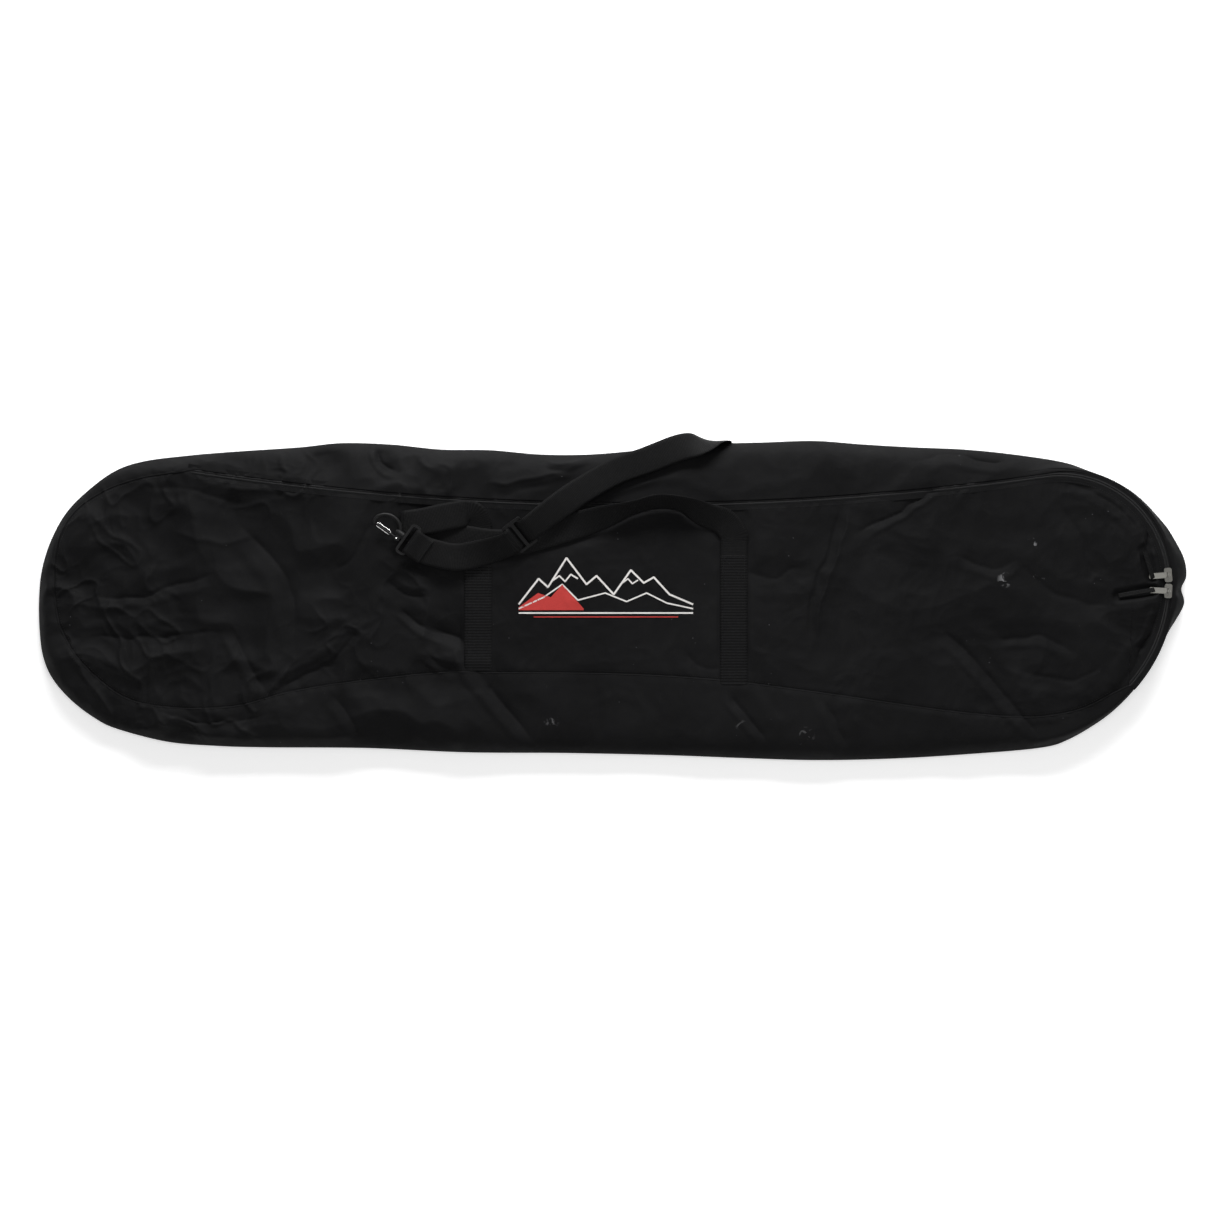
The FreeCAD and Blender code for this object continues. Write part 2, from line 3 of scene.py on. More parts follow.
import bpy
import numpy as np
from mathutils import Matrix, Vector


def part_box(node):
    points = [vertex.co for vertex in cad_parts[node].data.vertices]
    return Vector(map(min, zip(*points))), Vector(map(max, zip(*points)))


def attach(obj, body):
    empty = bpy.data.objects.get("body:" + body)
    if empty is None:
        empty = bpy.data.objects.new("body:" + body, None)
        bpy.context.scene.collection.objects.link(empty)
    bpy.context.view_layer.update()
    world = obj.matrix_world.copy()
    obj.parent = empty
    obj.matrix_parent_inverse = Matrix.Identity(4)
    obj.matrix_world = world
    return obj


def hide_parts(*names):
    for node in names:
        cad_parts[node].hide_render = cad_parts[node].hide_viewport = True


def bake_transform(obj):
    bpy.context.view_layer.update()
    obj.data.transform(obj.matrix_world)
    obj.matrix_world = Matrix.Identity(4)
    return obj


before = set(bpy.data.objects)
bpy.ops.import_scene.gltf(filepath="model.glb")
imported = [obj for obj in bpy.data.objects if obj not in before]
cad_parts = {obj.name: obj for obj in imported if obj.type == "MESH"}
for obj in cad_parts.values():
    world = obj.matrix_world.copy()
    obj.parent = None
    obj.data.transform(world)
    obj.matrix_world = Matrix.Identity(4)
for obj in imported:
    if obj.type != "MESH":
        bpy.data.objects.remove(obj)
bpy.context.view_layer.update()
print("packed model loaded")

# Lengths are in metres. X runs along the bag with the nose at +X, Y across it with the zip at +Y.
bag = {
    "tailCenter": -0.620,       # middle of the rounded tail end
    "noseCenter": 0.585,        # middle of the rounded nose
    "endRadius": 0.190,
    "rimHeight": 0.012,         # height of the outermost fold
    "crown": 0.0200,            # rise from the rim to the top
    "rimSoft": 0.0115,          # how fast the top rises from the rim
    "clothThick": 0.0009,
    "zipGap": 0.0040,           # cloth edge from the zip line on the long run
    "noseGap": 0.0062,          # the same on the rounds that the sliders run on
}


def smoothCurve(points, count, closed=False):
    # Catmull-Rom curve through the points, sampled evenly along its length
    p = np.asarray(points, float)
    if closed:
        p = np.vstack([p[-1], p, p[0], p[1]])
    else:
        p = np.vstack([2 * p[0] - p[1], p, 2 * p[-1] - p[-2]])
    t = np.linspace(0, 1, 24, endpoint=False)[None, :, None]
    a, b, c, d = (p[k:len(p) - 3 + k, None, :] for k in range(4))
    run = 0.5 * (2 * b + (c - a) * t + (2 * a - 5 * b + 4 * c - d) * t ** 2 + (3 * b - a - 3 * c + d) * t ** 3)
    run = run.reshape(-1, p.shape[1])
    run = np.vstack([run, run[0] if closed else p[-2]])
    step = np.r_[0, np.cumsum(np.linalg.norm(np.diff(run, axis=0), axis=1))]
    at = np.linspace(0, step[-1], count + 1 if closed else count)
    out = np.stack([np.interp(at, step, run[:, k]) for k in range(run.shape[1])], 1)
    return out[:-1] if closed else out


def lengthAlong(p):
    # distance along a line of points, from its first
    return np.r_[0, np.cumsum(np.linalg.norm(np.diff(p, axis=0), axis=1))]


def sideways(p):
    # unit normal in plan, to the left of travel
    t = np.gradient(p[:, :2], axis=0)
    t /= np.linalg.norm(t, axis=1)[:, None]
    return np.stack([-t[:, 1], t[:, 0]], 1)


def smoothStep(x):
    # 3x^2 - 2x^3 between 0 and 1
    x = np.clip(x, 0, 1)
    return x * x * (3 - 2 * x)


# outer fold of the empty bag, from the middle of the tail round by the zip side
outlinePoints = [
    (-0.805, 0.000), (-0.801, 0.042), (-0.788, 0.084), (-0.767, 0.122), (-0.738, 0.152), (-0.700, 0.180),
    (-0.660, 0.194), (-0.600, 0.202), (-0.530, 0.208), (-0.440, 0.214), (-0.381, 0.220), (-0.311, 0.218),
    (-0.241, 0.211), (-0.171, 0.210), (-0.101, 0.204), (-0.031, 0.204), (0.040, 0.210), (0.120, 0.218),
    (0.214, 0.221), (0.284, 0.223), (0.354, 0.218), (0.424, 0.214), (0.494, 0.211), (0.564, 0.204),
    (0.634, 0.193), (0.669, 0.180), (0.704, 0.166), (0.739, 0.144), (0.774, 0.108), (0.790, 0.084),
    (0.803, 0.058), (0.806, 0.034), (0.799, 0.016), (0.803, -0.004), (0.791, -0.028), (0.772, -0.056),
    (0.757, -0.084), (0.739, -0.113), (0.717, -0.140), (0.687, -0.167), (0.641, -0.195), (0.599, -0.207),
    (0.494, -0.216), (0.390, -0.222), (0.284, -0.224), (0.180, -0.221), (0.074, -0.217), (-0.066, -0.214),
    (-0.206, -0.213), (-0.346, -0.207), (-0.486, -0.206), (-0.556, -0.204), (-0.626, -0.198), (-0.696, -0.180),
    (-0.727, -0.165), (-0.760, -0.140), (-0.786, -0.110), (-0.799, -0.080), (-0.804, -0.045),
]
outline = smoothCurve(outlinePoints, 1800, closed=True)

# zip line: a long run that sags, then two rounds at the nose, as the sliders travel them
zipLine = {"tip": 0.778, "high": 0.024, "upper": 0.151, "lower": 0.215, "turn": 98.0, "end": -42.0,
           "start": -0.594, "curve": 3.44, "teeth": 0.00165}


def zipPath():
    # arcs that meet with one tangent, each sampled every millimetre
    up = np.array([zipLine["tip"] - zipLine["upper"], zipLine["high"]])
    low = np.array([zipLine["tip"] - zipLine["lower"], zipLine["high"]])
    turn = math.radians(zipLine["turn"])
    way = np.array([math.cos(turn), math.sin(turn)])
    meet = up + way * zipLine["upper"]
    radius = zipLine["curve"] * (meet[0] - zipLine["start"])
    center = meet + way * radius
    first = -math.pi + math.acos((center[0] - zipLine["start"]) / radius)
    run = np.linspace(first, turn - math.pi, 1400)
    a = center + radius * np.stack([np.cos(run), np.sin(run)], 1)
    r = np.linspace(turn, 0, 270)[1:]
    b = up + zipLine["upper"] * np.stack([np.cos(r), np.sin(r)], 1)
    r = np.linspace(0, math.radians(zipLine["end"]), 170)[1:]
    c = low + zipLine["lower"] * np.stack([np.cos(r), np.sin(r)], 1)
    return np.vstack([a, b, c])


zipCenter = zipPath()
seamPoints = [
    tuple(zipCenter[-1]), (0.700, -0.131), (0.663, -0.150), (0.626, -0.160), (0.572, -0.164), (0.465, -0.155),
    (0.283, -0.129), (0.144, -0.112), (0.011, -0.104), (-0.164, -0.102), (-0.240, -0.102), (-0.363, -0.115),
    (-0.450, -0.129), (-0.529, -0.149), (-0.615, -0.151), (-0.682, -0.137), (-0.738, -0.093), (-0.772, -0.040),
    (-0.782, 0.020), (-0.778, 0.074), (-0.757, 0.120), (-0.715, 0.152), (-0.660, 0.171), tuple(zipCenter[0]),
]
seamPath = smoothCurve(seamPoints, 1500)

span = bag["noseCenter"] - bag["tailCenter"]
quarter = 0.5 * math.pi * bag["endRadius"]
halfLoop = 2 * quarter + span                      # one side of the loop coordinate


def loopOf(x, y):
    # place round the bag and distance from its middle line; the ends are fans about their centres
    x, y = np.asarray(x, float), np.asarray(y, float)
    high = np.abs(y)
    tail = x < bag["tailCenter"]
    nose = x > bag["noseCenter"]
    tailTurn = np.arctan2(high, np.maximum(bag["tailCenter"] - x, 1e-9))
    noseTurn = np.arctan2(high, np.maximum(x - bag["noseCenter"], 1e-9))
    c = quarter + x - bag["tailCenter"]
    c = np.where(tail, quarter * tailTurn / (math.pi / 2), c)
    c = np.where(nose, 2 * quarter + span - quarter * noseTurn / (math.pi / 2), c)
    r = np.where(tail, np.hypot(x - bag["tailCenter"], y), high)
    r = np.where(nose, np.hypot(x - bag["noseCenter"], y), r)
    return np.where(y >= 0, c, 2 * halfLoop - c), r


def pointAt(loop, r):
    # plan point at a place round the bag and a distance from its middle line
    loop = np.mod(loop, 2 * halfLoop)
    low = loop > halfLoop
    c = np.where(low, 2 * halfLoop - loop, loop)
    tailTurn = c / quarter * math.pi / 2
    noseTurn = (2 * quarter + span - c) / quarter * math.pi / 2
    x = bag["tailCenter"] + c - quarter
    x = np.where(c < quarter, bag["tailCenter"] - r * np.cos(tailTurn), x)
    x = np.where(c > quarter + span, bag["noseCenter"] + r * np.cos(noseTurn), x)
    y = np.where(c < quarter, r * np.sin(tailTurn), r)
    y = np.where(c > quarter + span, r * np.sin(noseTurn), y)
    return x, np.where(low, -y, y)


def loopCurve(p):
    # a closed plan curve as distance from the middle line against place round the bag
    loop, r = loopOf(p[:, 0], p[:, 1])
    order = np.argsort(loop)
    return loop[order], r[order]


def reachOf(curve, loop):
    # reads such a curve anywhere round the bag
    return np.interp(np.mod(loop, 2 * halfLoop), curve[0], curve[1], period=2 * halfLoop)


outlineCurve = loopCurve(outline)
edgeLine = np.vstack([zipCenter, seamPath[1:-1]])
alongZip = lengthAlong(zipCenter)
gapAlong = bag["zipGap"] + (bag["noseGap"] - bag["zipGap"]) * smoothStep((zipCenter[:, 0] - 0.60) / 0.04)
gapAlong = gapAlong * smoothStep(alongZip / 0.014) * smoothStep((alongZip[-1] - alongZip) / 0.005)
gapAlong = np.r_[gapAlong, np.zeros(len(seamPath) - 2)]
edgeSide = sideways(np.vstack([edgeLine[-1], edgeLine, edgeLine[0]]))[1:-1]
frontEdge = edgeLine - edgeSide * gapAlong[:, None]
rearEdge = edgeLine + edgeSide * gapAlong[:, None]
frontCurve = loopCurve(frontEdge)
rearCurve = loopCurve(rearEdge)


web = {
    "wide": 0.038,
    "thick": 0.0015,
    "rib": 0.0021,              # spacing of the weave's ribs on the handle and the strap
    "ribHigh": 0.00012,
    "stripRib": 0.0040,         # the same on the sewn strips
    "stripRibHigh": 0.00040,
    "stripX": (-0.188, 0.170),
    "foot": 0.0635,             # where the loop leaves the strips
    "turn": 0.113,
}
topZ = 0.032                    # height of the cloth that the webbing lies on
lx, rx = web["stripX"]
turn = web["turn"]
# each route: middle of the webbing, and the direction across it
handle = [
    ((lx, web["foot"] - 0.0015, topZ + 0.0016), (1, 0, 0)), ((lx, turn - 0.026, topZ + 0.0012), (1, 0, 0)),
    ((lx, turn - 0.008, topZ + 0.0018), (1, 0, 0)), ((lx - 0.009, turn + 0.007, topZ + 0.006), (0.82, 0.57, 0)),
    ((lx - 0.036, turn + 0.005, topZ + 0.0095), (0.1, 1, 0)),
    ((lx - 0.074, turn - 0.003, topZ + 0.011), (0, 1, 0)),
    ((lx - 0.100, turn - 0.007, topZ + 0.011), (0, 1, 0)),
    ((lx - 0.107, turn - 0.008, topZ + 0.007), (0, 1, 0)),
    ((lx - 0.100, turn - 0.010, topZ + 0.0032), (0, 1, 0)),
    ((lx - 0.060, turn - 0.018, topZ + 0.0026), (0.1, 1, 0)),
    ((lx - 0.020, turn - 0.027, topZ + 0.0044), (0.05, 1, 0)),
    ((lx + 0.025, turn - 0.033, topZ + 0.0044), (0, 1, 0)),
    ((lx + 0.065, turn - 0.029, topZ + 0.0030), (-0.05, 1, 0)),
    ((lx + 0.120, turn - 0.014, topZ + 0.0034), (-0.2, 1, 0.02)),
    ((lx + 0.170, turn + 0.001, topZ + 0.012), (-0.2, 0.85, 0.5)),
    ((lx + 0.212, turn + 0.014, topZ + 0.019), (-0.1, 0.5, 0.85)),
    ((lx + 0.252, turn + 0.024, topZ + 0.0196), (0, 0.5, 0.86)),
    ((lx + 0.288, turn + 0.020, topZ + 0.018), (0.3, 0.5, 0.8)),
    ((lx + 0.318, turn + 0.006, topZ + 0.011), (0.6, 0.7, 0.4)),
    ((rx - 0.014, turn - 0.004, topZ + 0.0054), (0.9, 0.42, 0.05)),
    ((rx, turn - 0.022, topZ + 0.0022), (1, 0, 0)), ((rx, turn - 0.034, topZ + 0.0014), (1, 0, 0)),
    ((rx, web["foot"] - 0.0015, topZ + 0.0016), (1, 0, 0)),
]
hookBase = np.array([-0.284, 0.084, 0.050])
hookTurn = math.radians(145)
hookWay = np.array([math.cos(hookTurn), math.sin(hookTurn), 0])
hookSide = np.array([-math.sin(hookTurn), math.cos(hookTurn), 0])
barsMiddle = np.array([-0.129, 0.091, 0.051])
barsAlong = np.array([-0.79, -0.58, -0.08])
barsAlong /= np.linalg.norm(barsAlong)
barsAcross = np.array([0.55, -0.70, -0.45])
barsAcross -= barsAlong * barsAcross.dot(barsAlong)
barsAcross /= np.linalg.norm(barsAcross)
barsFace = np.cross(barsAlong, barsAcross)
side = 0.217                    # edge of the bag where the strap is sewn on
strap = [
    ((0.150, side + 0.0014, 0.0045), (1, 0, 0)), ((0.148, side + 0.0052, 0.014), (0.98, 0, 0.1)),
    ((0.139, side + 0.0055, 0.025), (0.92, -0.1, 0.25)),
    ((0.120, side + 0.0009, topZ + 0.004), (0.8, -0.5, 0.25)),
    ((0.092, side - 0.0047, topZ + 0.007), (0.62, -0.78, 0.1)),
    ((0.048, side - 0.022, topZ + 0.008), (0.53, -0.85, 0)),
    ((0.004, side - 0.038, topZ + 0.009), (0.56, -0.83, 0)),
    ((-0.044, side - 0.065, topZ + 0.014), (0.6, -0.8, -0.05)),
    ((-0.080, side - 0.090, topZ + 0.019), (0.57, -0.75, -0.25)),
]
# threading, in millimetres along and above the middle of the three-bar slider, then round the eye's bar
overBars = ((-22, 3.2), (-13, 3.1), (-10.2, 2.7), (-3.8, -2.6), (0, -3.1), (3.8, -2.6), (10.2, 2.7), (13, 3.1),
            (22, 3.0))
roundEye = ((-20, -3.2), (-11, -3.4), (-6, -3.5), (-3.3, -2.3), (-2.4, 0), (-3.3, 2.3), (-6, 3.5), (-11, 2.4),
            (-17, 0.2), (-24, -1.0), (-31, -1.2))
for p, q in overBars:
    strap.append((barsMiddle + barsAlong * p * 0.001 + barsFace * q * 0.001, barsAcross))
strap += [
    ((lx + 0.010, turn - 0.046, topZ + 0.012), (0.3, -0.9, -0.3)),
    ((lx - 0.028, turn - 0.053, topZ + 0.011), (0, -1, 0)),
    ((lx - 0.062, turn - 0.047, topZ + 0.013), (-0.3, -0.95, 0)),
]
for p, q in roundEye:
    strap.append((hookBase + hookWay * (p + 0.4) * 0.001 + np.array([0, 0, q * 0.001]), hookSide))


def lattice(x, y, cell, seed):
    # smooth random field between 0 and 1 with features about one cell wide
    rng = np.random.default_rng(seed)
    table = rng.random((97, 89))
    gx, gy = x / cell + 31.7, y / cell + 23.3
    ix, iy = np.floor(gx).astype(int), np.floor(gy).astype(int)
    fx, fy = smoothStep(gx - ix), smoothStep(gy - iy)
    pick = lambda a, b: table[np.mod(a, 97), np.mod(b, 89)]
    low = pick(ix, iy) * (1 - fx) + pick(ix + 1, iy) * fx
    high = pick(ix, iy + 1) * (1 - fx) + pick(ix + 1, iy + 1) * fx
    return low * (1 - fy) + high * fy


def nearPath(x, y, points):
    # distance to a line of points, its sign by side, and the share of the way along it
    p = smoothCurve(points, 24)
    a, b = p[:-1], p[1:]
    step = b - a
    long = np.einsum("ij,ij->i", step, step)
    best = np.full(x.shape, 9.0)
    side = np.zeros(x.shape)
    along = np.zeros(x.shape)
    for k in range(len(a)):
        dx, dy = x - a[k, 0], y - a[k, 1]
        t = np.clip((dx * step[k, 0] + dy * step[k, 1]) / long[k], 0, 1)
        d = np.hypot(dx - t * step[k, 0], dy - t * step[k, 1])
        near = d < best
        best = np.where(near, d, best)
        side = np.where(near, np.sign(step[k, 0] * dy - step[k, 1] * dx), side)
        along = np.where(near, (k + t) / len(a), along)
    return best, side, along


# each fold: its line in plan, height (negative for a valley), half width, and lean of one side
folds = [
    ([(-0.735, 0.006), (-0.690, 0.002), (-0.655, 0.004), (-0.594, 0.022), (-0.548, 0.036)], -0.0050, 0.010, 0.6),
    ([(-0.745, -0.052), (-0.650, -0.050), (-0.535, -0.043)], -0.0040, 0.012, -0.4),
    ([(-0.538, -0.032), (-0.515, -0.080), (-0.482, -0.132)], -0.0052, 0.012, 0.7),
    ([(-0.482, -0.132), (-0.412, -0.097), (-0.347, -0.041)], -0.0050, 0.011, -0.7),
    ([(-0.660, 0.160), (-0.580, 0.152), (-0.507, 0.130)], -0.0040, 0.016, 0.3),
    ([(-0.524, 0.108), (-0.454, 0.027), (-0.444, -0.070)], -0.0050, 0.018, 0.5),
    ([(-0.331, 0.112), (-0.360, 0.070), (-0.389, 0.032)], -0.0040, 0.015, 0.4),
    ([(-0.300, -0.010), (-0.262, -0.040), (-0.222, -0.052)], -0.0046, 0.008, 0.6),
    ([(-0.318, 0.030), (-0.290, 0.010), (-0.255, 0.006)], -0.0036, 0.008, -0.5),
    ([(-0.262, -0.072), (-0.236, -0.094), (-0.214, -0.099)], -0.0040, 0.007, 0.5),
    ([(-0.277, -0.032), (-0.207, -0.059), (-0.192, -0.097), (-0.105, -0.205)], -0.0070, 0.016, 0.8),
    ([(0.332, 0.140), (0.320, 0.076), (0.291, 0.000), (0.288, -0.059)], 0.0066, 0.012, 0.8),
    ([(0.337, 0.094), (0.395, 0.122), (0.465, 0.161)], -0.0052, 0.010, 0.7),
    ([(0.455, -0.038), (0.497, -0.074), (0.572, -0.161), (0.610, -0.203)], -0.0064, 0.012, 0.6),
    ([(0.530, -0.060), (0.590, -0.050), (0.650, -0.075)], -0.0034, 0.010, 0.6),
    ([(0.480, 0.060), (0.530, 0.045), (0.570, 0.056)], -0.0030, 0.009, 0.6),
    ([(0.690, -0.150), (0.730, -0.100), (0.756, -0.040)], -0.0046, 0.008, 0.6),
    ([(0.640, 0.165), (0.700, 0.135), (0.740, 0.095)], -0.0036, 0.009, 0.5),
    ([(0.744, 0.112), (0.750, 0.085), (0.744, 0.060), (0.752, 0.045)], -0.0080, 0.006, 0.5),
    ([(0.762, -0.010), (0.750, -0.045), (0.735, -0.075)], -0.0050, 0.006, 0.4),
    ([(0.159, -0.128), (0.190, -0.165), (0.218, -0.200)], -0.0048, 0.010, 0.7),
    ([(0.294, -0.140), (0.312, -0.170), (0.330, -0.208)], -0.0036, 0.010, 0.6),
    ([(-0.020, -0.110), (-0.016, -0.205)], -0.0018, 0.006, 0.0),
    ([(-0.640, -0.155), (-0.560, -0.172), (-0.470, -0.160)], -0.0040, 0.011, 0.5),
    ([(-0.400, -0.125), (-0.370, -0.160), (-0.352, -0.200)], -0.0036, 0.010, 0.5),
    ([(-0.330, 0.215), (-0.322, 0.190), (-0.300, 0.178)], -0.0060, 0.008, 0.7),
    ([(-0.100, 0.196), (-0.060, 0.190), (-0.020, 0.196)], 0.0050, 0.007, 0.4),
    ([(-0.180, 0.160), (-0.110, 0.172), (-0.060, 0.182)], 0.0040, 0.010, 0.4),
    ([(0.420, 0.196), (0.470, 0.202), (0.560, 0.192)], -0.0034, 0.010, 0.4),
    ([(0.620, 0.140), (0.660, 0.080), (0.668, 0.020)], -0.0030, 0.016, 0.4),
    ([(0.560, 0.060), (0.620, 0.010), (0.700, -0.010)], -0.0028, 0.015, -0.4),
    ([(0.560, -0.100), (0.640, -0.110), (0.690, -0.090)], -0.0030, 0.014, 0.4),
    ([(0.180, 0.040), (0.230, 0.030), (0.270, 0.050)], -0.0028, 0.016, 0.4),
    ([(0.100, -0.060), (0.120, -0.090), (0.200, -0.100)], -0.0026, 0.013, 0.4),
    ([(-0.620, 0.100), (-0.560, 0.080), (-0.500, 0.090)], 0.0034, 0.018, 0.3),
    ([(-0.700, 0.060), (-0.720, 0.020), (-0.715, -0.030)], 0.0030, 0.014, 0.3),
    ([(0.755, 0.110), (0.770, 0.090), (0.785, 0.085)], -0.0040, 0.006, 0.4),
    ([(0.786, 0.014), (0.796, 0.012), (0.804, 0.012)], -0.0070, 0.005, 0.0),
    ([(0.760, -0.050), (0.750, -0.070), (0.748, -0.095)], -0.0026, 0.006, 0.4),
]


def foldHeight(x, y):
    # sum of the folds: height times exp(-distance / width), a sharp line with one flank longer than the other
    total = np.zeros(x.shape)
    for points, high, wide, lean in folds:
        far = np.array(points)
        reach = 6 * wide
        close = ((x > far[:, 0].min() - reach) & (x < far[:, 0].max() + reach)
                 & (y > far[:, 1].min() - reach) & (y < far[:, 1].max() + reach))
        if not close.any():
            continue
        px, py = x[close], y[close]
        bend = 0.008 * (lattice(px, py, 0.022, 41) - 0.5)
        d, side, along = nearPath(px + bend, py - bend, points)
        width = wide * (1 + lean * side * 0.6)
        shape = 0.55 * np.exp(-d / width) + 0.45 * np.exp(-d / (0.30 * width))
        edge = 0.30 * smoothStep(1 - np.abs(d - 1.9 * width) / (1.2 * width))
        fade = smoothStep(along / 0.22) * smoothStep((1 - along) / 0.22)
        past = np.exp(-(np.hypot(px - far[0, 0], py - far[0, 1]) / 0.012) ** 2) * (along <= 0)
        past = past + np.exp(-(np.hypot(px - far[-1, 0], py - far[-1, 1]) / 0.012) ** 2) * (along >= 1)
        total[close] += high * (shape - edge) * (0.12 + 0.88 * fade) * np.where((along <= 0) | (along >= 1), past, 1)
    return total


# plan of the fabric pullers, from the tab's end to the puller's tip
pulls = {"upper": ((0.7547, 0.0332), (0.7440, 0.0700)), "lower": ((0.7548, 0.0142), (0.7080, 0.0060))}
# lines that webbing lies along: points, half width that is covered, and width over which the waves return
covers = [(np.array([s[0] for s in route])[:, :2], 0.019, 0.018) for route in (handle, strap)]
covers += [(np.array([(x, -0.105), (x, 0.0), (x, 0.110)]), 0.019, 0.007) for x in web["stripX"]]
covers += [(np.array([a, ((a[0] + b[0]) / 2, (a[1] + b[1]) / 2), b]), 0.004, 0.008) for a, b in pulls.values()]


def underWebbing(x, y):
    # 1 under the webbing and 0 well clear of it
    hidden = np.zeros(x.shape)
    for line, half, soft in covers:
        hidden = np.maximum(hidden, 1 - smoothStep((nearPath(x, y, line)[0] - half) / soft))
    return hidden


def ridges(x, y, cell, seed, power=1):
    # random field whose flanks are straight and meet in sharp lines
    return (1 - np.abs(2 * lattice(x, y, cell, seed) - 1)) ** power


def topHeight(x, y):
    # top of the cloth over plan points: the crown from the rim, then waves, facets, creases, puckers and folds
    x, y = np.asarray(x, float), np.asarray(y, float)
    loop, r = loopOf(x, y)
    d = np.maximum(reachOf(outlineCurve, loop) - r, 0)
    z = bag["rimHeight"] + bag["crown"] * (1 - np.exp(-d / bag["rimSoft"]))
    warpX = x + 0.035 * lattice(x, y, 0.07, 21) + 0.010 * lattice(x, y, 0.025, 24)
    warpY = y + 0.035 * lattice(x, y, 0.07, 22) + 0.010 * lattice(x, y, 0.025, 25)
    busy = 1.15 - 0.80 * smoothStep((x + 0.235) / 0.10) + 0.17 * smoothStep((x - 0.22) / 0.12)
    busy = busy + 0.40 * smoothStep((x - 0.64) / 0.08)
    wave = 0.0050 * (lattice(x, y, 0.130, 3) - 0.5)
    wave = wave + busy * 0.0078 * (ridges(warpX, 1.3 * warpY, 0.105, 5) - 0.62)
    wave = wave + busy * 0.0046 * (ridges(warpY, warpX, 0.052, 6) - 0.62)
    patch = busy * smoothStep((lattice(x, y, 0.10, 11) - 0.30) / 0.35)
    thin = 0.15 + 0.85 * smoothStep((-0.05 - x) / 0.15)
    small = 0.0020 * ridges(warpX, warpY, 0.027, 7)
    small = small + 0.0026 * thin * ridges(warpX + warpY, warpY - warpX, 0.042, 8, 6)
    small = small + 0.0009 * ridges(warpY, warpX, 0.014, 9, 2)
    seamD = r - reachOf(frontCurve, loop)
    seamD = np.where(r < 0.03, 9.0, seamD)
    pucker = 0.0007 * np.sin(loop * 2 * math.pi / 0.019 + 9 * lattice(x, y, 0.03, 13))
    pucker = pucker * np.exp(-np.abs(seamD) / 0.011)
    pucker = pucker * smoothStep((lattice(x, y, 0.08, 14) - 0.25) / 0.3) * smoothStep(np.abs(seamD) / 0.004)
    wave = wave + (0.15 + 0.85 * patch) * small + pucker + foldHeight(x, y)
    wave = wave - 0.0011 * np.exp(-(seamD / 0.0035) ** 2)
    hide = underWebbing(x, y)
    wave = np.minimum(wave, 0) * (1 - 0.6 * hide) + np.maximum(wave, 0) * (1 - hide)
    z = z + wave * smoothStep(d / 0.016)
    # the cloth lies level along the rounds that the sliders run on
    nearZip = np.abs(np.hypot(x - (zipLine["tip"] - zipLine["upper"]), y - zipLine["high"]) - zipLine["upper"])
    nearLow = np.abs(np.hypot(x - (zipLine["tip"] - zipLine["lower"]), y - zipLine["high"]) - zipLine["lower"])
    near = np.where(y > zipLine["high"], nearZip, nearLow)
    hold = np.exp(-(near / 0.012) ** 4) * smoothStep((x - 0.575) / 0.03)
    return z * (1 - hold) + 0.0318 * hold


def markBorder(mesh):
    # open edges are sharp, so that the cut edge of the cloth doesn't tilt the shading of its face
    used = np.empty(len(mesh.loops), int)
    mesh.loops.foreach_get("edge_index", used)
    mesh.edges.foreach_set("use_edge_sharp", np.bincount(used, minlength=len(mesh.edges)) == 1)


def meshPiece(name, points, faces, material, uv=None):
    # mesh object at the origin from points, lists of faces and, where given, one surface place for each point
    mesh = bpy.data.meshes.new(name)
    mesh.from_pydata(points.tolist(), [], faces)
    mesh.polygons.foreach_set("use_smooth", [True] * len(mesh.polygons))
    if uv is not None:
        layer = mesh.uv_layers.new(name="surface")
        order = np.empty(len(mesh.loops), int)
        mesh.loops.foreach_get("vertex_index", order)
        layer.data.foreach_set("uv", uv[order].ravel())
    markBorder(mesh)
    mesh.materials.append(material)
    thing = bpy.data.objects.new(name, mesh)
    bpy.context.scene.collection.objects.link(thing)
    return thing


def gridFaces(rows, cols, wrapCols=False):
    # quads of a grid of points, row by row
    i, j = np.meshgrid(np.arange(rows - 1), np.arange(cols if wrapCols else cols - 1), indexing="ij")
    k = (j + 1) % cols
    return np.stack([i * cols + j, (i + 1) * cols + j, (i + 1) * cols + k, i * cols + k], -1).reshape(-1, 4)


def gridPiece(name, p, material, wrapCols=False):
    # surface through a grid of points
    return meshPiece(name, p.reshape(-1, 3), gridFaces(*p.shape[:2], wrapCols).tolist(), material)


def thicken(thing, thick):
    # gives a sheet its thickness below the visible face
    solid = thing.modifiers.new("thickness", "SOLIDIFY")
    solid.thickness = thick
    solid.offset = -1
    solid.use_quality_normals = True


def weld(thing):
    # merges the points that meet at a pole or seam
    edit = thing.modifiers.new("weld", "WELD")
    edit.merge_threshold = 1e-5


def newMaterial(name):
    # material with its nodes, their links and its main shader
    material = bpy.data.materials.new(name)
    material.use_nodes = True
    nodes, links = material.node_tree.nodes, material.node_tree.links
    return material, nodes, links, nodes["Principled BSDF"]


def addNode(nodes, kind, **values):
    # new node; each value goes to the socket of its name, or to the node itself where there is none
    node = nodes.new(kind)
    for key, value in values.items():
        if key in node.inputs:
            node.inputs[key].default_value = value
        else:
            setattr(node, key, value)
    return node


def ramp(nodes, links, source, low, high, first, last):
    # two-stop ramp between colours
    node = nodes.new("ShaderNodeValToRGB")
    node.color_ramp.elements[0].position = low
    node.color_ramp.elements[1].position = high
    node.color_ramp.elements[0].color = (*first, 1)
    node.color_ramp.elements[1].color = (*last, 1)
    links.new(source, node.inputs[0])
    return node.outputs[0]


def noiseOf(nodes, links, place, **values):
    # noise read at a place
    node = addNode(nodes, "ShaderNodeTexNoise", **values)
    links.new(place, node.inputs["Vector"])
    return node.outputs["Fac"]


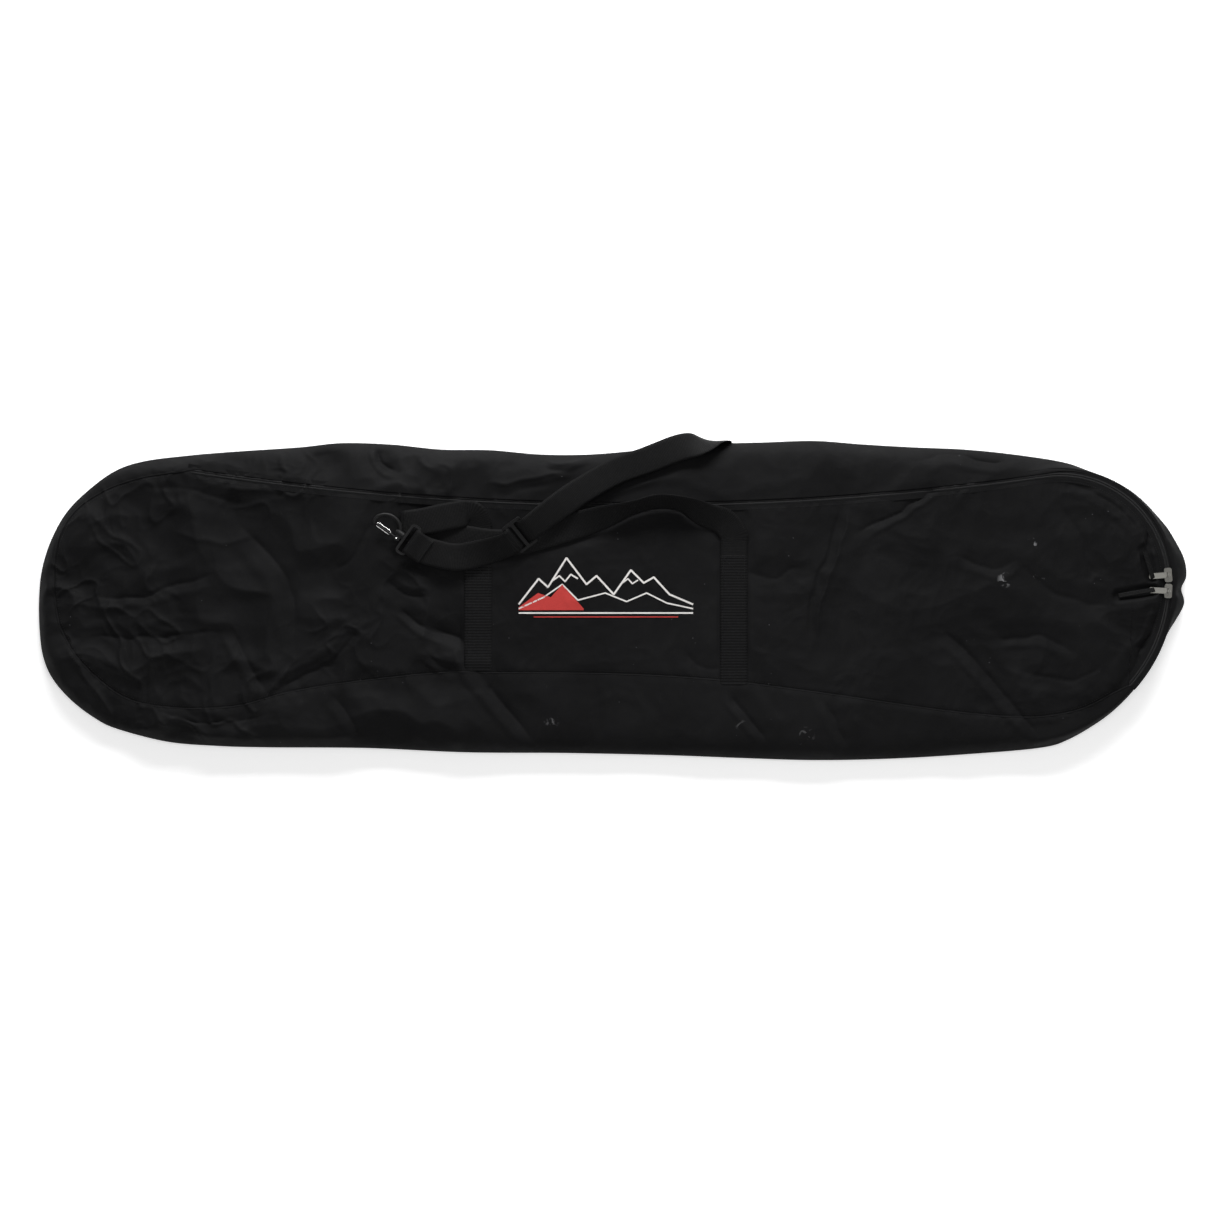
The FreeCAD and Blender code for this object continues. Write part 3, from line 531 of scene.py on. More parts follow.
def bandsOf(nodes, links, place, way, **values):
    # parallel bands across one direction
    node = addNode(nodes, "ShaderNodeTexWave", **values)
    node.bands_direction = way
    links.new(place, node.inputs["Vector"])
    return node.outputs["Fac"]


def mathOf(nodes, links, operation, *terms):
    # one operation on outputs and plain numbers
    node = addNode(nodes, "ShaderNodeMath", operation=operation)
    for socket, term in zip(node.inputs, terms):
        if isinstance(term, float):
            socket.default_value = term
        else:
            links.new(term, socket)
    return node.outputs[0]


def rangeOf(nodes, links, source, limits):
    # a value carried from one range to another
    node = nodes.new("ShaderNodeMapRange")
    for key, value in limits.items():
        node.inputs[key].default_value = value
    links.new(source, node.inputs["Value"])
    return node.outputs["Result"]


def paintOver(nodes, links, share, base, color):
    # a plain colour laid over the base by a share
    node = nodes.new("ShaderNodeMix")
    node.data_type = "RGBA"
    node.inputs["B"].default_value = color
    links.new(share, node.inputs["Factor"])
    links.new(base, node.inputs["A"])
    return node.outputs["Result"]


def bumpOf(nodes, links, height, strength, distance):
    # relief from a height
    node = addNode(nodes, "ShaderNodeBump", Strength=strength, Distance=distance)
    links.new(height, node.inputs["Height"])
    return node


# rubbed places: middle, radius and strength
rubs = [
    ((0.549, 0.028, 0.030), 0.012, 1.0), ((0.597, 0.032, 0.030), 0.009, 0.9),
    ((0.588, 0.078, 0.030), 0.010, 0.8), ((0.598, 0.058, 0.030), 0.008, 0.7),
    ((0.697, 0.175, 0.028), 0.008, 0.5), ((0.270, -0.190, 0.028), 0.016, 0.6),
    ((-0.085, -0.170, 0.028), 0.012, 0.4), ((0.180, -0.175, 0.028), 0.010, 0.5),
]


def rubMarks(nodes, links, place, base):
    # pale broken scratches inside each rubbed place: thin bands of warped noise, cut off by distance
    streak = noiseOf(nodes, links, place, Scale=90.0, Detail=3.0, Roughness=0.6, Distortion=0.8)
    thin = ramp(nodes, links, streak, 0.56, 0.62, (0, 0, 0), (1, 1, 1))
    for middle, radius, strength in rubs:
        away = addNode(nodes, "ShaderNodeVectorMath", operation="DISTANCE")
        links.new(place, away.inputs[0])
        away.inputs[1].default_value = middle
        fade = rangeOf(nodes, links, away.outputs["Value"],
                       {"From Min": radius, "From Max": radius * 0.3, "To Max": strength})
        base = paintOver(nodes, links, mathOf(nodes, links, "MULTIPLY", thin, fade), base, (0.16, 0.16, 0.165, 1))
    return base


def clothMaterial(name, dark, light, rough, weave, bump, specks=True):
    # coated cloth: blotchy colour, faint dust and lint, a plain weave in the bump over soft sharp-edged creases
    material, nodes, links, shader = newMaterial(name)
    place = nodes.new("ShaderNodeTexCoord").outputs["Object"]
    blotch = noiseOf(nodes, links, place, Scale=9.0, Detail=6.0, Roughness=0.6)
    base = ramp(nodes, links, blotch, 0.35, 0.70, dark, light)
    if specks:
        lint = addNode(nodes, "ShaderNodeTexVoronoi", Scale=70.0, Randomness=1.0)
        links.new(place, lint.inputs["Vector"])
        spot = ramp(nodes, links, lint.outputs["Distance"], 0.025, 0.070, (1, 1, 1), (0, 0, 0))
        where = noiseOf(nodes, links, place, Scale=13.0, Detail=2.0)
        shown = ramp(nodes, links, where, 0.58, 0.62, (0, 0, 0), (1, 1, 1))
        both = mathOf(nodes, links, "MULTIPLY", spot, shown)
        base = rubMarks(nodes, links, place, paintOver(nodes, links, both, base, (0.060, 0.060, 0.064, 1)))
    links.new(base, shader.inputs["Base Color"])
    wear = noiseOf(nodes, links, place, Scale=40.0, Detail=4.0)
    gloss = rangeOf(nodes, links, wear, {"To Min": rough - 0.08, "To Max": rough + 0.10})
    links.new(gloss, shader.inputs["Roughness"])
    warp = bandsOf(nodes, links, place, "X", Scale=1.0 / weave, Distortion=0.6)
    weft = bandsOf(nodes, links, place, "Y", Scale=1.0 / weave, Distortion=0.6)
    grain = noiseOf(nodes, links, place, Scale=420.0, Detail=3.0)
    total = mathOf(nodes, links, "ADD", mathOf(nodes, links, "MULTIPLY", warp, weft), grain)
    crumple = noiseOf(nodes, links, place, Scale=17.0, Detail=2.5, Roughness=0.5, Distortion=0.15)
    sharp = mathOf(nodes, links, "ABSOLUTE", mathOf(nodes, links, "SUBTRACT", crumple, 0.5))
    crease = bumpOf(nodes, links, sharp, 0.45, 0.006)
    crease.invert = True
    relief = bumpOf(nodes, links, total, bump, 0.0002)
    links.new(crease.outputs["Normal"], relief.inputs["Normal"])
    links.new(relief.outputs["Normal"], shader.inputs["Normal"])
    shader.inputs["Specular IOR Level"].default_value = 0.08
    return material


def webbingMaterial(name, dark, light, period, bars, depth):
    # ribbed webbing on its own surface map: u along, v across, both in metres
    material, nodes, links, shader = newMaterial(name)
    place = nodes.new("ShaderNodeTexCoord").outputs["UV"]
    ribs = bandsOf(nodes, links, place, "X", Scale=0.31416 / period, Distortion=0.5, Detail=1.0)
    strands = bandsOf(nodes, links, place, "Y", Scale=0.31416 / 0.0018, Distortion=0.8)
    both = mathOf(nodes, links, "MULTIPLY", ribs, strands)
    # painted shade: the colour follows the ribs' relief bands, dark in the troughs between ribs and strands and
    # lighter on their crests
    ribShade = mathOf(nodes, links, "MULTIPLY_ADD", ribs, bars, both)
    links.new(ramp(nodes, links, ribShade, 0.10, 1.2, dark, light), shader.inputs["Base Color"])
    relief = bumpOf(nodes, links, both, 0.8, depth)
    links.new(relief.outputs["Normal"], shader.inputs["Normal"])
    shader.inputs["Roughness"].default_value = 0.62
    shader.inputs["Specular IOR Level"].default_value = 0.10
    return material


def hardMaterial(name, color, metal, rough, grain):
    # metal, ink, thread or moulded plastic with fine grain in its gloss and relief
    material, nodes, links, shader = newMaterial(name)
    place = nodes.new("ShaderNodeTexCoord").outputs["Object"]
    noise = noiseOf(nodes, links, place, Scale=grain, Detail=5.0, Roughness=0.6)
    tint = ramp(nodes, links, noise, 0.3, 0.75, tuple(c * 0.82 for c in color), color)
    links.new(tint, shader.inputs["Base Color"])
    gloss = rangeOf(nodes, links, noise, {"To Min": max(rough - 0.06, 0.05), "To Max": rough + 0.12})
    links.new(gloss, shader.inputs["Roughness"])
    relief = bumpOf(nodes, links, noise, 0.15, 0.0001)
    links.new(relief.outputs["Normal"], shader.inputs["Normal"])
    shader.inputs["Metallic"].default_value = metal
    shader.inputs["Specular IOR Level"].default_value = 0.5 if metal else 0.18
    return material


panelCloth = clothMaterial("panel cloth", (0.0036, 0.0036, 0.0039), (0.0066, 0.0066, 0.0070), 0.70, 0.0034, 0.35)
# painted light: the gussets and the seam welt use the panel's cloth in a lighter colour, standing in for the extra
# light their outward tilt catches
gussetClothPaintedLighter = clothMaterial("gusset cloth painted lighter", (0.0042, 0.0042, 0.0045), (0.0074, 0.0074, 0.0078), 0.70, 0.0034, 0.35)
backCloth = clothMaterial("back cloth", (0.0044, 0.0044, 0.0047), (0.0074, 0.0074, 0.0078), 0.64, 0.0034, 0.35)
tapeCloth = clothMaterial("zip tape", (0.0040, 0.0040, 0.0043), (0.0070, 0.0070, 0.0074), 0.70, 0.0020, 0.5,
                          specks=False)
webbing = webbingMaterial("strap webbing", (0.0010, 0.0010, 0.0011), (0.0064, 0.0064, 0.0068), 0.0021, 0.30, 0.0004)
stripWebbing = webbingMaterial("ribbed webbing", (0.0003, 0.0003, 0.0004), (0.0100, 0.0100, 0.0106),
                               0.0040, 0.70, 0.0008)
thread = hardMaterial("thread", (0.009, 0.009, 0.0095), 0.0, 0.62, 900.0)
coilNylon = hardMaterial("nylon coil", (0.0085, 0.0085, 0.0090), 0.0, 0.50, 500.0)
nickel = hardMaterial("nickel", (0.25, 0.245, 0.225), 1.0, 0.33, 300.0)
steelGate = hardMaterial("bright steel", (0.70, 0.70, 0.69), 1.0, 0.20, 260.0)
blackMetal = hardMaterial("black metal", (0.0035, 0.0035, 0.0038), 0.0, 0.40, 340.0)
blackPlastic = hardMaterial("black plastic", (0.0035, 0.0035, 0.0038), 0.0, 0.50, 420.0)
whiteInk = hardMaterial("off-white ink", (0.72, 0.70, 0.68), 0.0, 0.55, 700.0)
redInk = hardMaterial("red ink", (0.50, 0.045, 0.040), 0.0, 0.55, 700.0)
print("materials made")

shell = {
    "panelStep": 0.00205,       # spacing of the front panel's columns
    "panelRows": 134,
    "middleRows": 116,
    "gussetRows": 36,
    "step": 0.0026,             # spacing of the gussets' columns
    "tailCut": -0.612,          # joins between the long gussets and the end ones
    "noseCut": 0.596,
    "underIn": 0.016,           # how far the gusset turns in under the bag
    "underHeight": 0.0012,
    "backThick": 0.0006,
    "bendReach": 0.016,         # half width of the flap's bend
}


def bendAtNose(piece):
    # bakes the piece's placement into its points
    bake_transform(piece)


def makeFrontPanel(name, low, high, node, across):
    # columns run from the lower edge to the zip edge; both edges meet at the tail and at the nose
    first = 0.0 if low is None else quarter + low - bag["tailCenter"]
    last = halfLoop if high is None else quarter + high - bag["tailCenter"]
    loop = np.linspace(first, last, int((last - first) / shell["panelStep"]))
    top = np.stack(pointAt(loop, reachOf(frontCurve, loop)), 1)
    bottom = np.stack(pointAt(2 * halfLoop - loop, reachOf(frontCurve, 2 * halfLoop - loop)), 1)
    v = np.linspace(0, 1, across)[None, :, None]
    plan = bottom[:, None, :] * (1 - v) + top[:, None, :] * v
    z = topHeight(plan[..., 0], plan[..., 1])
    grid = np.dstack([plan, z])
    piece = gridPiece(name, grid, panelCloth)
    weld(piece)
    thicken(piece, bag["clothThick"])
    if high is None:
        bendAtNose(piece)
    else:
        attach(piece, "bag")
    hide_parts(node)


def ringPart(first, last):
    # gusset between two places round the bag: from the seam out to the rim and back in under it
    count = max(int(abs(last - first) / shell["step"]), 8)
    loop = np.linspace(first, last, count)[:, None]
    outer = reachOf(outlineCurve, loop)
    seam = reachOf(rearCurve, loop)
    s = np.linspace(0, 1, shell["gussetRows"])[None, :] ** 0.8
    r = seam * (1 - s) + outer * s
    x, y = pointAt(loop + 0 * r, r)
    z = topHeight(x, y)
    turn = np.linspace(0, 1, 9)[None, 1:]
    inward = shell["underIn"] * turn ** 1.6
    under = bag["rimHeight"] * (1 - turn) ** 1.5 + shell["underHeight"] * turn
    ux, uy = pointAt(loop + 0 * inward, outer - inward + 0.0008 * np.sin(math.pi * turn))
    plan = np.dstack([np.hstack([x, ux]), np.hstack([y, uy]), np.hstack([z, under + 0 * ux])])
    return plan[::-1] if last > first else plan


def loopAt(x, side):
    # place round the bag of a cut across it
    loop, _ = loopOf(np.array([x]), np.array([0.2 * side]))
    return float(loop[0])


cutUpTail, cutUpNose = loopAt(shell["tailCut"], 1), loopAt(shell["noseCut"], 1)
cutLowNose, cutLowTail = loopAt(shell["noseCut"], -1), loopAt(shell["tailCut"], -1)
makeFrontPanel("frontPanelTail", None, lx, "front_panel", shell["panelRows"])
makeFrontPanel("frontPanelMiddle", lx, rx, "front_panel", shell["middleRows"])
makeFrontPanel("frontPanelNose", rx, None, "nose_flap_panel", shell["panelRows"])
for label, node, first, last, flat in (
        ("upperGusset", "upper_gusset", cutUpTail, cutUpNose, 1.21),
        ("noseGusset", "nose_gusset", cutUpNose, cutLowNose, 0.62),
        ("lowerGusset", "lower_gusset", cutLowNose, cutLowTail, 1.21),
        ("tailGusset", "tail_gusset", cutLowTail, cutUpTail + 2 * halfLoop, 0.60)):
    grid = ringPart(first, last)
    piece = gridPiece(label, grid, gussetClothPaintedLighter)
    thicken(piece, bag["clothThick"])
    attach(piece, "bag")
    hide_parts(node)


def makeBackPanel():
    # the underside: columns between the two halves of the fold, nearly flat on the floor
    loop = halfLoop * np.linspace(0, 1, 380)
    inset = shell["underIn"] - 0.001
    top = np.stack(pointAt(loop, reachOf(outlineCurve, loop) - inset), 1)
    low = np.stack(pointAt(2 * halfLoop - loop, reachOf(outlineCurve, 2 * halfLoop - loop) - inset), 1)
    v = np.linspace(0, 1, 70)[None, :, None]
    plan = top[:, None, :] * (1 - v) + low[:, None, :] * v
    x, y = plan[..., 0], plan[..., 1]
    edge = smoothStep(np.minimum(v[..., 0], 1 - v[..., 0]) / 0.06)
    lift = 0.0016 * lattice(x, y, 0.06, 31) + 0.0022 * (1 - np.abs(2 * lattice(x + 0.4 * y, y, 0.05, 33) - 1)) ** 4
    z = 0.0007 + lift * edge
    piece = gridPiece("backPanel", np.dstack([plan, z]), backCloth)
    weld(piece)
    thicken(piece, shell["backThick"])
    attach(piece, "bag")
    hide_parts("back_panel")


makeBackPanel()
print("cloth made")


def zipStrip(name, low, high, drop, material, dome=0, columns=7, phase=0.0, step=None):
    # strip along the zip between two offsets; a coil is domed and toothed, tape is flat
    if step:
        at = np.arange(0, alongZip[-1], step)
    else:
        at = alongZip[::3]
    p = np.stack([np.interp(at, alongZip, zipCenter[:, k]) for k in range(2)], 1)
    n = sideways(p)
    w = np.linspace(0, 1, columns)[None, :]
    off = low + (high - low) * w
    x = p[:, :1] + n[:, :1] * off
    y = p[:, 1:] + n[:, 1:] * off
    z = topHeight(p[:, 0], p[:, 1])[:, None] - drop
    if dome:
        bite = 0.5 + 0.5 * np.cos(2 * math.pi * (at[:, None] / zipLine["teeth"] + phase))
        rounded = np.sqrt(np.clip(1 - (2 * w - 1) ** 2, 0, 1))
        z = z + dome * rounded * (0.62 + 0.38 * bite)
    else:
        z = z + 0 * off
    return gridPiece(name, np.dstack([x, y, z])[:, ::-1], material)


# offsets from the zip line, depth below the cloth's top, and height of the coil's dome
zipParts = {"tape": (0.0026, 0.0100), "coil": (-0.0002, 0.0034), "tapeDrop": 0.0010, "coilDrop": 0.0022,
            "dome": 0.0020, "thick": 0.0005}
toothStep = zipLine["teeth"] / 4
tapeIn, tapeOut = zipParts["tape"]
coilIn, coilOut = zipParts["coil"]
coilShape = (zipParts["coilDrop"], coilNylon, zipParts["dome"], 6)
frontTape = zipStrip("frontZipTape", -tapeOut, -tapeIn, zipParts["tapeDrop"], tapeCloth)
rearTape = zipStrip("rearZipTape", tapeIn, tapeOut, zipParts["tapeDrop"], tapeCloth)
frontCoil = zipStrip("frontZipCoil", -coilOut, -coilIn, *coilShape, 0.0, toothStep)
rearCoil = zipStrip("rearZipCoil", coilIn, coilOut, *coilShape, 0.5, toothStep)
for piece, nodes in ((frontTape, ("front_zip_tape", "nose_zip_tape", "lower_zip_tape")),
                     (frontCoil, ("front_zip_coil", "nose_zip_coil", "lower_zip_coil"))):
    bendAtNose(piece)
    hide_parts(*nodes)
for piece, node in ((rearTape, "rear_zip_tape"), (rearCoil, "rear_zip_coil")):
    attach(piece, "bag")
    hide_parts(node)
for piece, name in ((frontTape, "zip_tape"), (rearTape, "zip_tape"), (frontCoil, "zip_coil"), (rearCoil, "zip_coil")):
    thicken(piece, zipParts["thick"])
print("zip made")


# each kind of stitch: spacing, length and width
stitch = {"seam": (0.0034, 0.0024, 0.0007), "join": (0.0038, 0.0026, 0.0008), "strip": (0.0032, 0.0023, 0.0007),
          "tack": (0.0026, 0.0020, 0.0008), "raised": 0.0004}


def stitchRow(name, path, spacing, long, wide):
    # row of small thread stitches, each a stretched six-cornered bead lying along the path
    total = lengthAlong(path)
    at = np.arange(spacing, total[-1] - spacing, spacing)
    c = np.stack([np.interp(at, total, path[:, k]) for k in range(path.shape[1])], 1)
    t = np.stack([np.interp(at + 1e-3, total, path[:, k]) for k in range(path.shape[1])], 1) - c
    if path.shape[1] == 2:
        c = np.c_[c, topHeight(c[:, 0], c[:, 1]) + stitch["raised"]]
        t = np.c_[t, np.zeros(len(t))]
    t /= np.linalg.norm(t, axis=1)[:, None]
    n = np.cross(np.array([0, 0, 1.0]), t)
    n /= np.linalg.norm(n, axis=1)[:, None]
    u = np.cross(t, n)
    reaches = (-t * long, t * long, n * wide, -n * wide, u * wide, -u * wide)
    corners = np.stack([c + reach / 2 for reach in reaches], 1)
    one = np.array([[1, 2, 4], [1, 4, 3], [1, 3, 5], [1, 5, 2], [0, 4, 2], [0, 3, 4], [0, 5, 3], [0, 2, 5]])
    faces = (one[None] + 6 * np.arange(len(c))[:, None, None]).reshape(-1, 3)
    return meshPiece(name, corners.reshape(-1, 3), faces.tolist(), thread)


def offsetPath(path, off):
    # the same line moved sideways in plan
    return path + sideways(path) * off


def tube(name, path, radius, material, sides=8):
    # round cord carried along a plan path on the cloth
    z = topHeight(path[:, 0], path[:, 1])
    c = np.c_[path, z]
    n = np.c_[sideways(path), np.zeros(len(path))]
    a = np.linspace(0, 2 * math.pi, sides, endpoint=False)[None, :, None]
    p = c[:, None, :] + radius * (n[:, None, :] * np.cos(a) + np.array([0, 0, 1.0]) * np.sin(a))
    return gridPiece(name, p, material, wrapCols=True)


lowerSeam = seamPath[20:-20]
welt = tube("seamWelt", seamPath, 0.0014, gussetClothPaintedLighter)
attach(welt, "bag")
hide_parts("lower_seam_welt")
rows = [
    ("seamStitchLower", offsetPath(lowerSeam, 0.0042)), ("seamStitchPanel", offsetPath(lowerSeam, -0.0040)),
    ("zipStitchRear", offsetPath(zipCenter[10:-10], 0.0090)),
]
for name, path in rows:
    row = stitchRow(name, path, *stitch["seam"])
    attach(row, "bag")
zipStitch = stitchRow("zipStitchFront", offsetPath(zipCenter[10:-10], -0.0090), *stitch["seam"])
bendAtNose(zipStitch)
join = np.stack([np.full(60, -0.0125), np.linspace(-0.108, -0.207, 60)], 1)
joinRow = stitchRow("gussetJoinStitch", join, *stitch["join"])
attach(joinRow, "bag")
print("stitching made")


def webbingPiece(name, middle, across, wide, thick, material, ribs, depth):
    # flat webbing: a rounded oblong carried along a smooth path, its faces ribbed across
    both = smoothCurve(np.hstack([middle, across]), 900)
    along = lengthAlong(both[:, :3])
    at = np.arange(0, along[-1], 0.0010)
    c = np.stack([np.interp(at, along, both[:, k]) for k in range(3)], 1)
    w = np.stack([np.interp(at, along, both[:, k + 3]) for k in range(3)], 1)
    t = np.gradient(c, axis=0)
    t /= np.linalg.norm(t, axis=1)[:, None]
    w -= t * np.einsum("ij,ij->i", w, t)[:, None]
    w /= np.linalg.norm(w, axis=1)[:, None]
    n = np.cross(t, w)
    half = np.linspace(-1, 1, 11)
    upperX, upperZ = half * (wide / 2), np.full(11, thick / 2)
    upperZ[[0, -1]] *= 0.45
    sideX = np.r_[upperX, upperX[::-1]]
    sideZ = np.r_[upperZ, -upperZ[::-1]]
    rib = depth * np.abs(np.sin(math.pi * at / ribs))[:, None]
    flat = (np.abs(sideX) < wide * 0.46)[None, :]
    high = sideZ[None, :] + np.sign(sideZ)[None, :] * rib * flat
    p = c[:, None, :] + w[:, None, :] * sideX[None, :, None] + n[:, None, :] * high[..., None]
    uv = np.dstack([at[:, None] + 0 * sideX[None, :], sideX[None, :] + 0 * at[:, None]])
    rows, cols = p.shape[:2]
    k = np.arange(cols)
    m = (k + 1) % cols
    firstCap = np.stack([m, k, np.full(cols, rows * cols)], 1)
    lastCap = np.stack([(rows - 1) * cols + k, (rows - 1) * cols + m, np.full(cols, rows * cols + 1)], 1)
    faces = [f for part in (gridFaces(rows, cols, True), firstCap, lastCap) for f in part[:, ::-1].tolist()]
    points = np.vstack([p.reshape(-1, 3), c[:1], c[-1:]])
    full = np.vstack([uv.reshape(-1, 2), [[0, 0]], [[at[-1], 0]]])
    piece = meshPiece(name, points, faces, material, full)
    return piece


# stitches on the strips: the rows' distance from the middle, the box's half width and length
sewn = {"row": 0.0155, "boxHalf": 0.015, "boxLong": 0.03}
for label, node, x in (("handleStripLeft", "handle_strip_left", web["stripX"][0]),
                       ("handleStripRight", "handle_strip_right", web["stripX"][1])):
    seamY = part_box(node)[0][1]
    y = np.linspace(seamY, web["foot"], 30)
    z = topHeight(np.full(30, x), y) + web["thick"] * 0.7
    middle = np.stack([np.full(30, x), y, z], 1)
    strip = webbingPiece(label, middle, np.tile([1.0, 0, 0], (30, 1)), web["wide"], web["thick"],
                         stripWebbing, web["stripRib"], web["stripRibHigh"])
    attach(strip, "bag")
    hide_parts(node)
    for mark, off in (("A", -sewn["row"]), ("B", sewn["row"])):
        line = np.stack([np.full(60, x + off), np.linspace(seamY + 0.003, web["foot"] - 0.003, 60)], 1)
        line3 = np.c_[line, topHeight(np.full(60, x), line[:, 1]) + web["thick"] * 1.35 + 0.0002]
        row = stitchRow(label + "Stitch" + mark, line3, *stitch["strip"])
        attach(row, "bag")
    half, low = sewn["boxHalf"], -sewn["boxLong"]
    box = np.array([(-half, 0.0), (half, 0.0), (half, low), (-half, low), (-half, 0.0), (half, low)])
    box = np.vstack([np.linspace(a, b, 12) for a, b in zip(box[:-1], box[1:])]) + [x, web["foot"] - 0.004]
    box3 = np.c_[box, topHeight(np.full(len(box), x), box[:, 1]) + web["thick"] * 1.35 + 0.0003]
    tack = stitchRow(label + "Tack", box3, *stitch["tack"])
    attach(tack, "bag")

# the loop and the strap, each carried along its route and baked in place
handleLoop = webbingPiece("handleLoop", np.array([s[0] for s in handle]), np.array([s[1] for s in handle], float),
                          web["wide"], web["thick"], webbing, web["rib"], web["ribHigh"])
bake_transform(handleLoop)
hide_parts("handle_loop")

shoulderStrap = webbingPiece("shoulderStrap", np.array([s[0] for s in strap]), np.array([s[1] for s in strap], float),
                             web["wide"], web["thick"], webbing, web["rib"], web["ribHigh"])
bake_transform(shoulderStrap)
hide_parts("strap_webbing")
print("webbing made")

art = {"left": -0.131, "right": 0.113, "ground": -0.018, "bold": 0.0026, "fine": 0.0020, "lift": 0.0006}


def inkLine(name, points, wide, material):
    # stroke of ink along straight runs, laid on the cloth as one narrow grid
    pts = np.array(points, float)
    total = lengthAlong(pts)
    at = np.unique(np.r_[np.arange(0, total[-1], 0.002), total])
    c = np.stack([np.interp(at, total, pts[:, k]) for k in range(2)], 1)
    n = sideways(c)
    w = np.linspace(-0.5, 0.5, 4)[None, :]
    x = c[:, :1] + n[:, :1] * wide * w
    y = c[:, 1:] + n[:, 1:] * wide * w
    z = topHeight(x, y) + art["lift"]
    piece = gridPiece(name, np.dstack([x, y, z]), material)
    piece.data.flip_normals()
    return piece


def inkArea(name, low, high, material):
    # filled band of ink between a lower and an upper line of points
    low, high = np.array(low, float), np.array(high, float)
    at = np.linspace(low[0, 0], low[-1, 0], 140)
    v = np.linspace(0, 1, 10)[None, :]
    x = at[:, None] + 0 * v
    y = np.interp(at, low[:, 0], low[:, 1])[:, None] * (1 - v) + np.interp(at, high[:, 0], high[:, 1])[:, None] * v
    return gridPiece(name, np.dstack([x, y, topHeight(x, y) + art["lift"]]), material)


peaks = [
    (-0.131, -0.006), (-0.103, 0.030), (-0.090, 0.018), (-0.064, 0.059), (-0.036, 0.022), (-0.022, 0.034),
    (0.002, 0.008), (0.026, 0.042), (0.044, 0.024), (0.058, 0.032), (0.080, 0.008), (0.113, -0.006),
]
ridge = [
    (-0.131, -0.012), (-0.096, 0.004), (-0.070, 0.022), (-0.048, 0.000), (-0.010, 0.010), (0.020, -0.002),
    (0.048, 0.010), (0.076, -0.004), (0.113, -0.012),
]
redBase = [(-0.131, -0.014), (-0.040, -0.014)]
redRidge = [(-0.131, -0.010), (-0.104, 0.010), (-0.086, 0.004), (-0.070, 0.022), (-0.052, 0.002), (-0.040, -0.012)]
inks = [
    inkArea("printSlope", redBase, redRidge, redInk),
    inkLine("printPeaks", peaks, art["bold"], whiteInk),
    inkLine("printSnowLeft", [(-0.084, 0.027), (-0.074, 0.034), (-0.066, 0.026), (-0.058, 0.036), (-0.048, 0.030)],
            0.0022, whiteInk),
    inkLine("printSnowRight", [(0.014, 0.024), (0.022, 0.030), (0.028, 0.023), (0.036, 0.028)], art["fine"], whiteInk),
    inkLine("printRidge", ridge, art["fine"], whiteInk),
    inkLine("printGround", [(art["left"], art["ground"]), (art["right"], art["ground"])], 0.0022, whiteInk),
    inkLine("printGroundThin", [(-0.110, -0.0235), (0.092, -0.0235)], 0.0014, redInk),
]
for ink in inks:
    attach(ink, "bag")
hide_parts("front_print")
print("print made")

# fabric pullers on the two tabs
pullerSize = {"wide": 0.0066, "thick": 0.0014, "ribHigh": 0.0001, "startHigh": 0.0362, "endHigh": 0.0345}
for number, (first, last) in enumerate(pulls.values(), 1):
    start, end = np.array([*first, pullerSize["startHigh"]]), np.array([*last, pullerSize["endHigh"]])
    way = (end - start) / np.linalg.norm(end - start)
    run = end - start
    line = np.array([start - way * 0.003 - [0, 0, 0.0008], start + [0, 0, 0.0006],
                     start + run * 0.35 + [0, 0, 0.0012], start + run * 0.7 + [0, 0, 0.0008], end])
    cross = np.tile(np.cross([0, 0, 1.0], way), (5, 1)) * 0.9 + [0, 0, 0.25]
    puller = webbingPiece("puller" + str(number), line, cross, pullerSize["wide"], pullerSize["thick"],
                          webbing, web["rib"], pullerSize["ribHigh"])
    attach(puller, "upper_pull" if number == 1 else "lower_pull")
    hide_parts("puller_" + str(number))

finishes = {nickel: ("zip_slider_1", "zip_slider_2", "pull_tab_1", "pull_tab_2", "zip_start_stop", "zip_end_stop"),
            blackMetal: ("hook_eye", "snap_hook_body", "hook_gate"), steelGate: ("gate_pin",),
            blackPlastic: ("strap_adjuster",)}
for material, nodes in finishes.items():
    for node in nodes:
        painted = bpy.data.objects[node].data.materials
        painted.clear()
        painted.append(material)

# bright wire round the gate: long and wide in metres, its middle along and beside the hook's axis
gate = {"long": 0.023, "wide": 0.0052, "along": 0.0375, "beside": 0.0069, "wire": 0.00085}


def gateWire():
    # stadium of wire round the gate bar, in the plane of the hook
    arc = np.linspace(-math.pi / 2, math.pi / 2, 12)
    half, radius = (gate["long"] - gate["wide"]) / 2, gate["wide"] / 2
    end = np.stack([half + radius * np.cos(arc), radius * np.sin(arc)], 1)
    flat = smoothCurve(np.vstack([end, -end]), 120, closed=True)
    out = np.gradient(np.vstack([flat[-1], flat, flat[0]]), axis=0)[1:-1]
    out /= np.linalg.norm(out, axis=1)[:, None]
    middle = hookBase + hookWay * gate["along"] + hookSide * gate["beside"]
    line = middle + flat[:, :1] * hookWay + flat[:, 1:] * hookSide
    normal = out[:, 1:] * hookWay - out[:, :1] * hookSide
    a = np.linspace(0, 2 * math.pi, 10, endpoint=False)[None, :, None]
    p = line[:, None] + gate["wire"] * (normal[:, None] * np.cos(a) + np.array([0, 0, 1.0]) * np.sin(a))
    return np.vstack([p, p[:1]])


wire = gridPiece("gateWire", gateWire(), steelGate, wrapCols=True)
weld(wire)
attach(wire, "gate")
print("hardware finished")

stageSize = {"radius": 12.0, "wall": 5.5, "nearGlow": 0.45, "clear": (1.1, 2.6), "sky": 0.24}


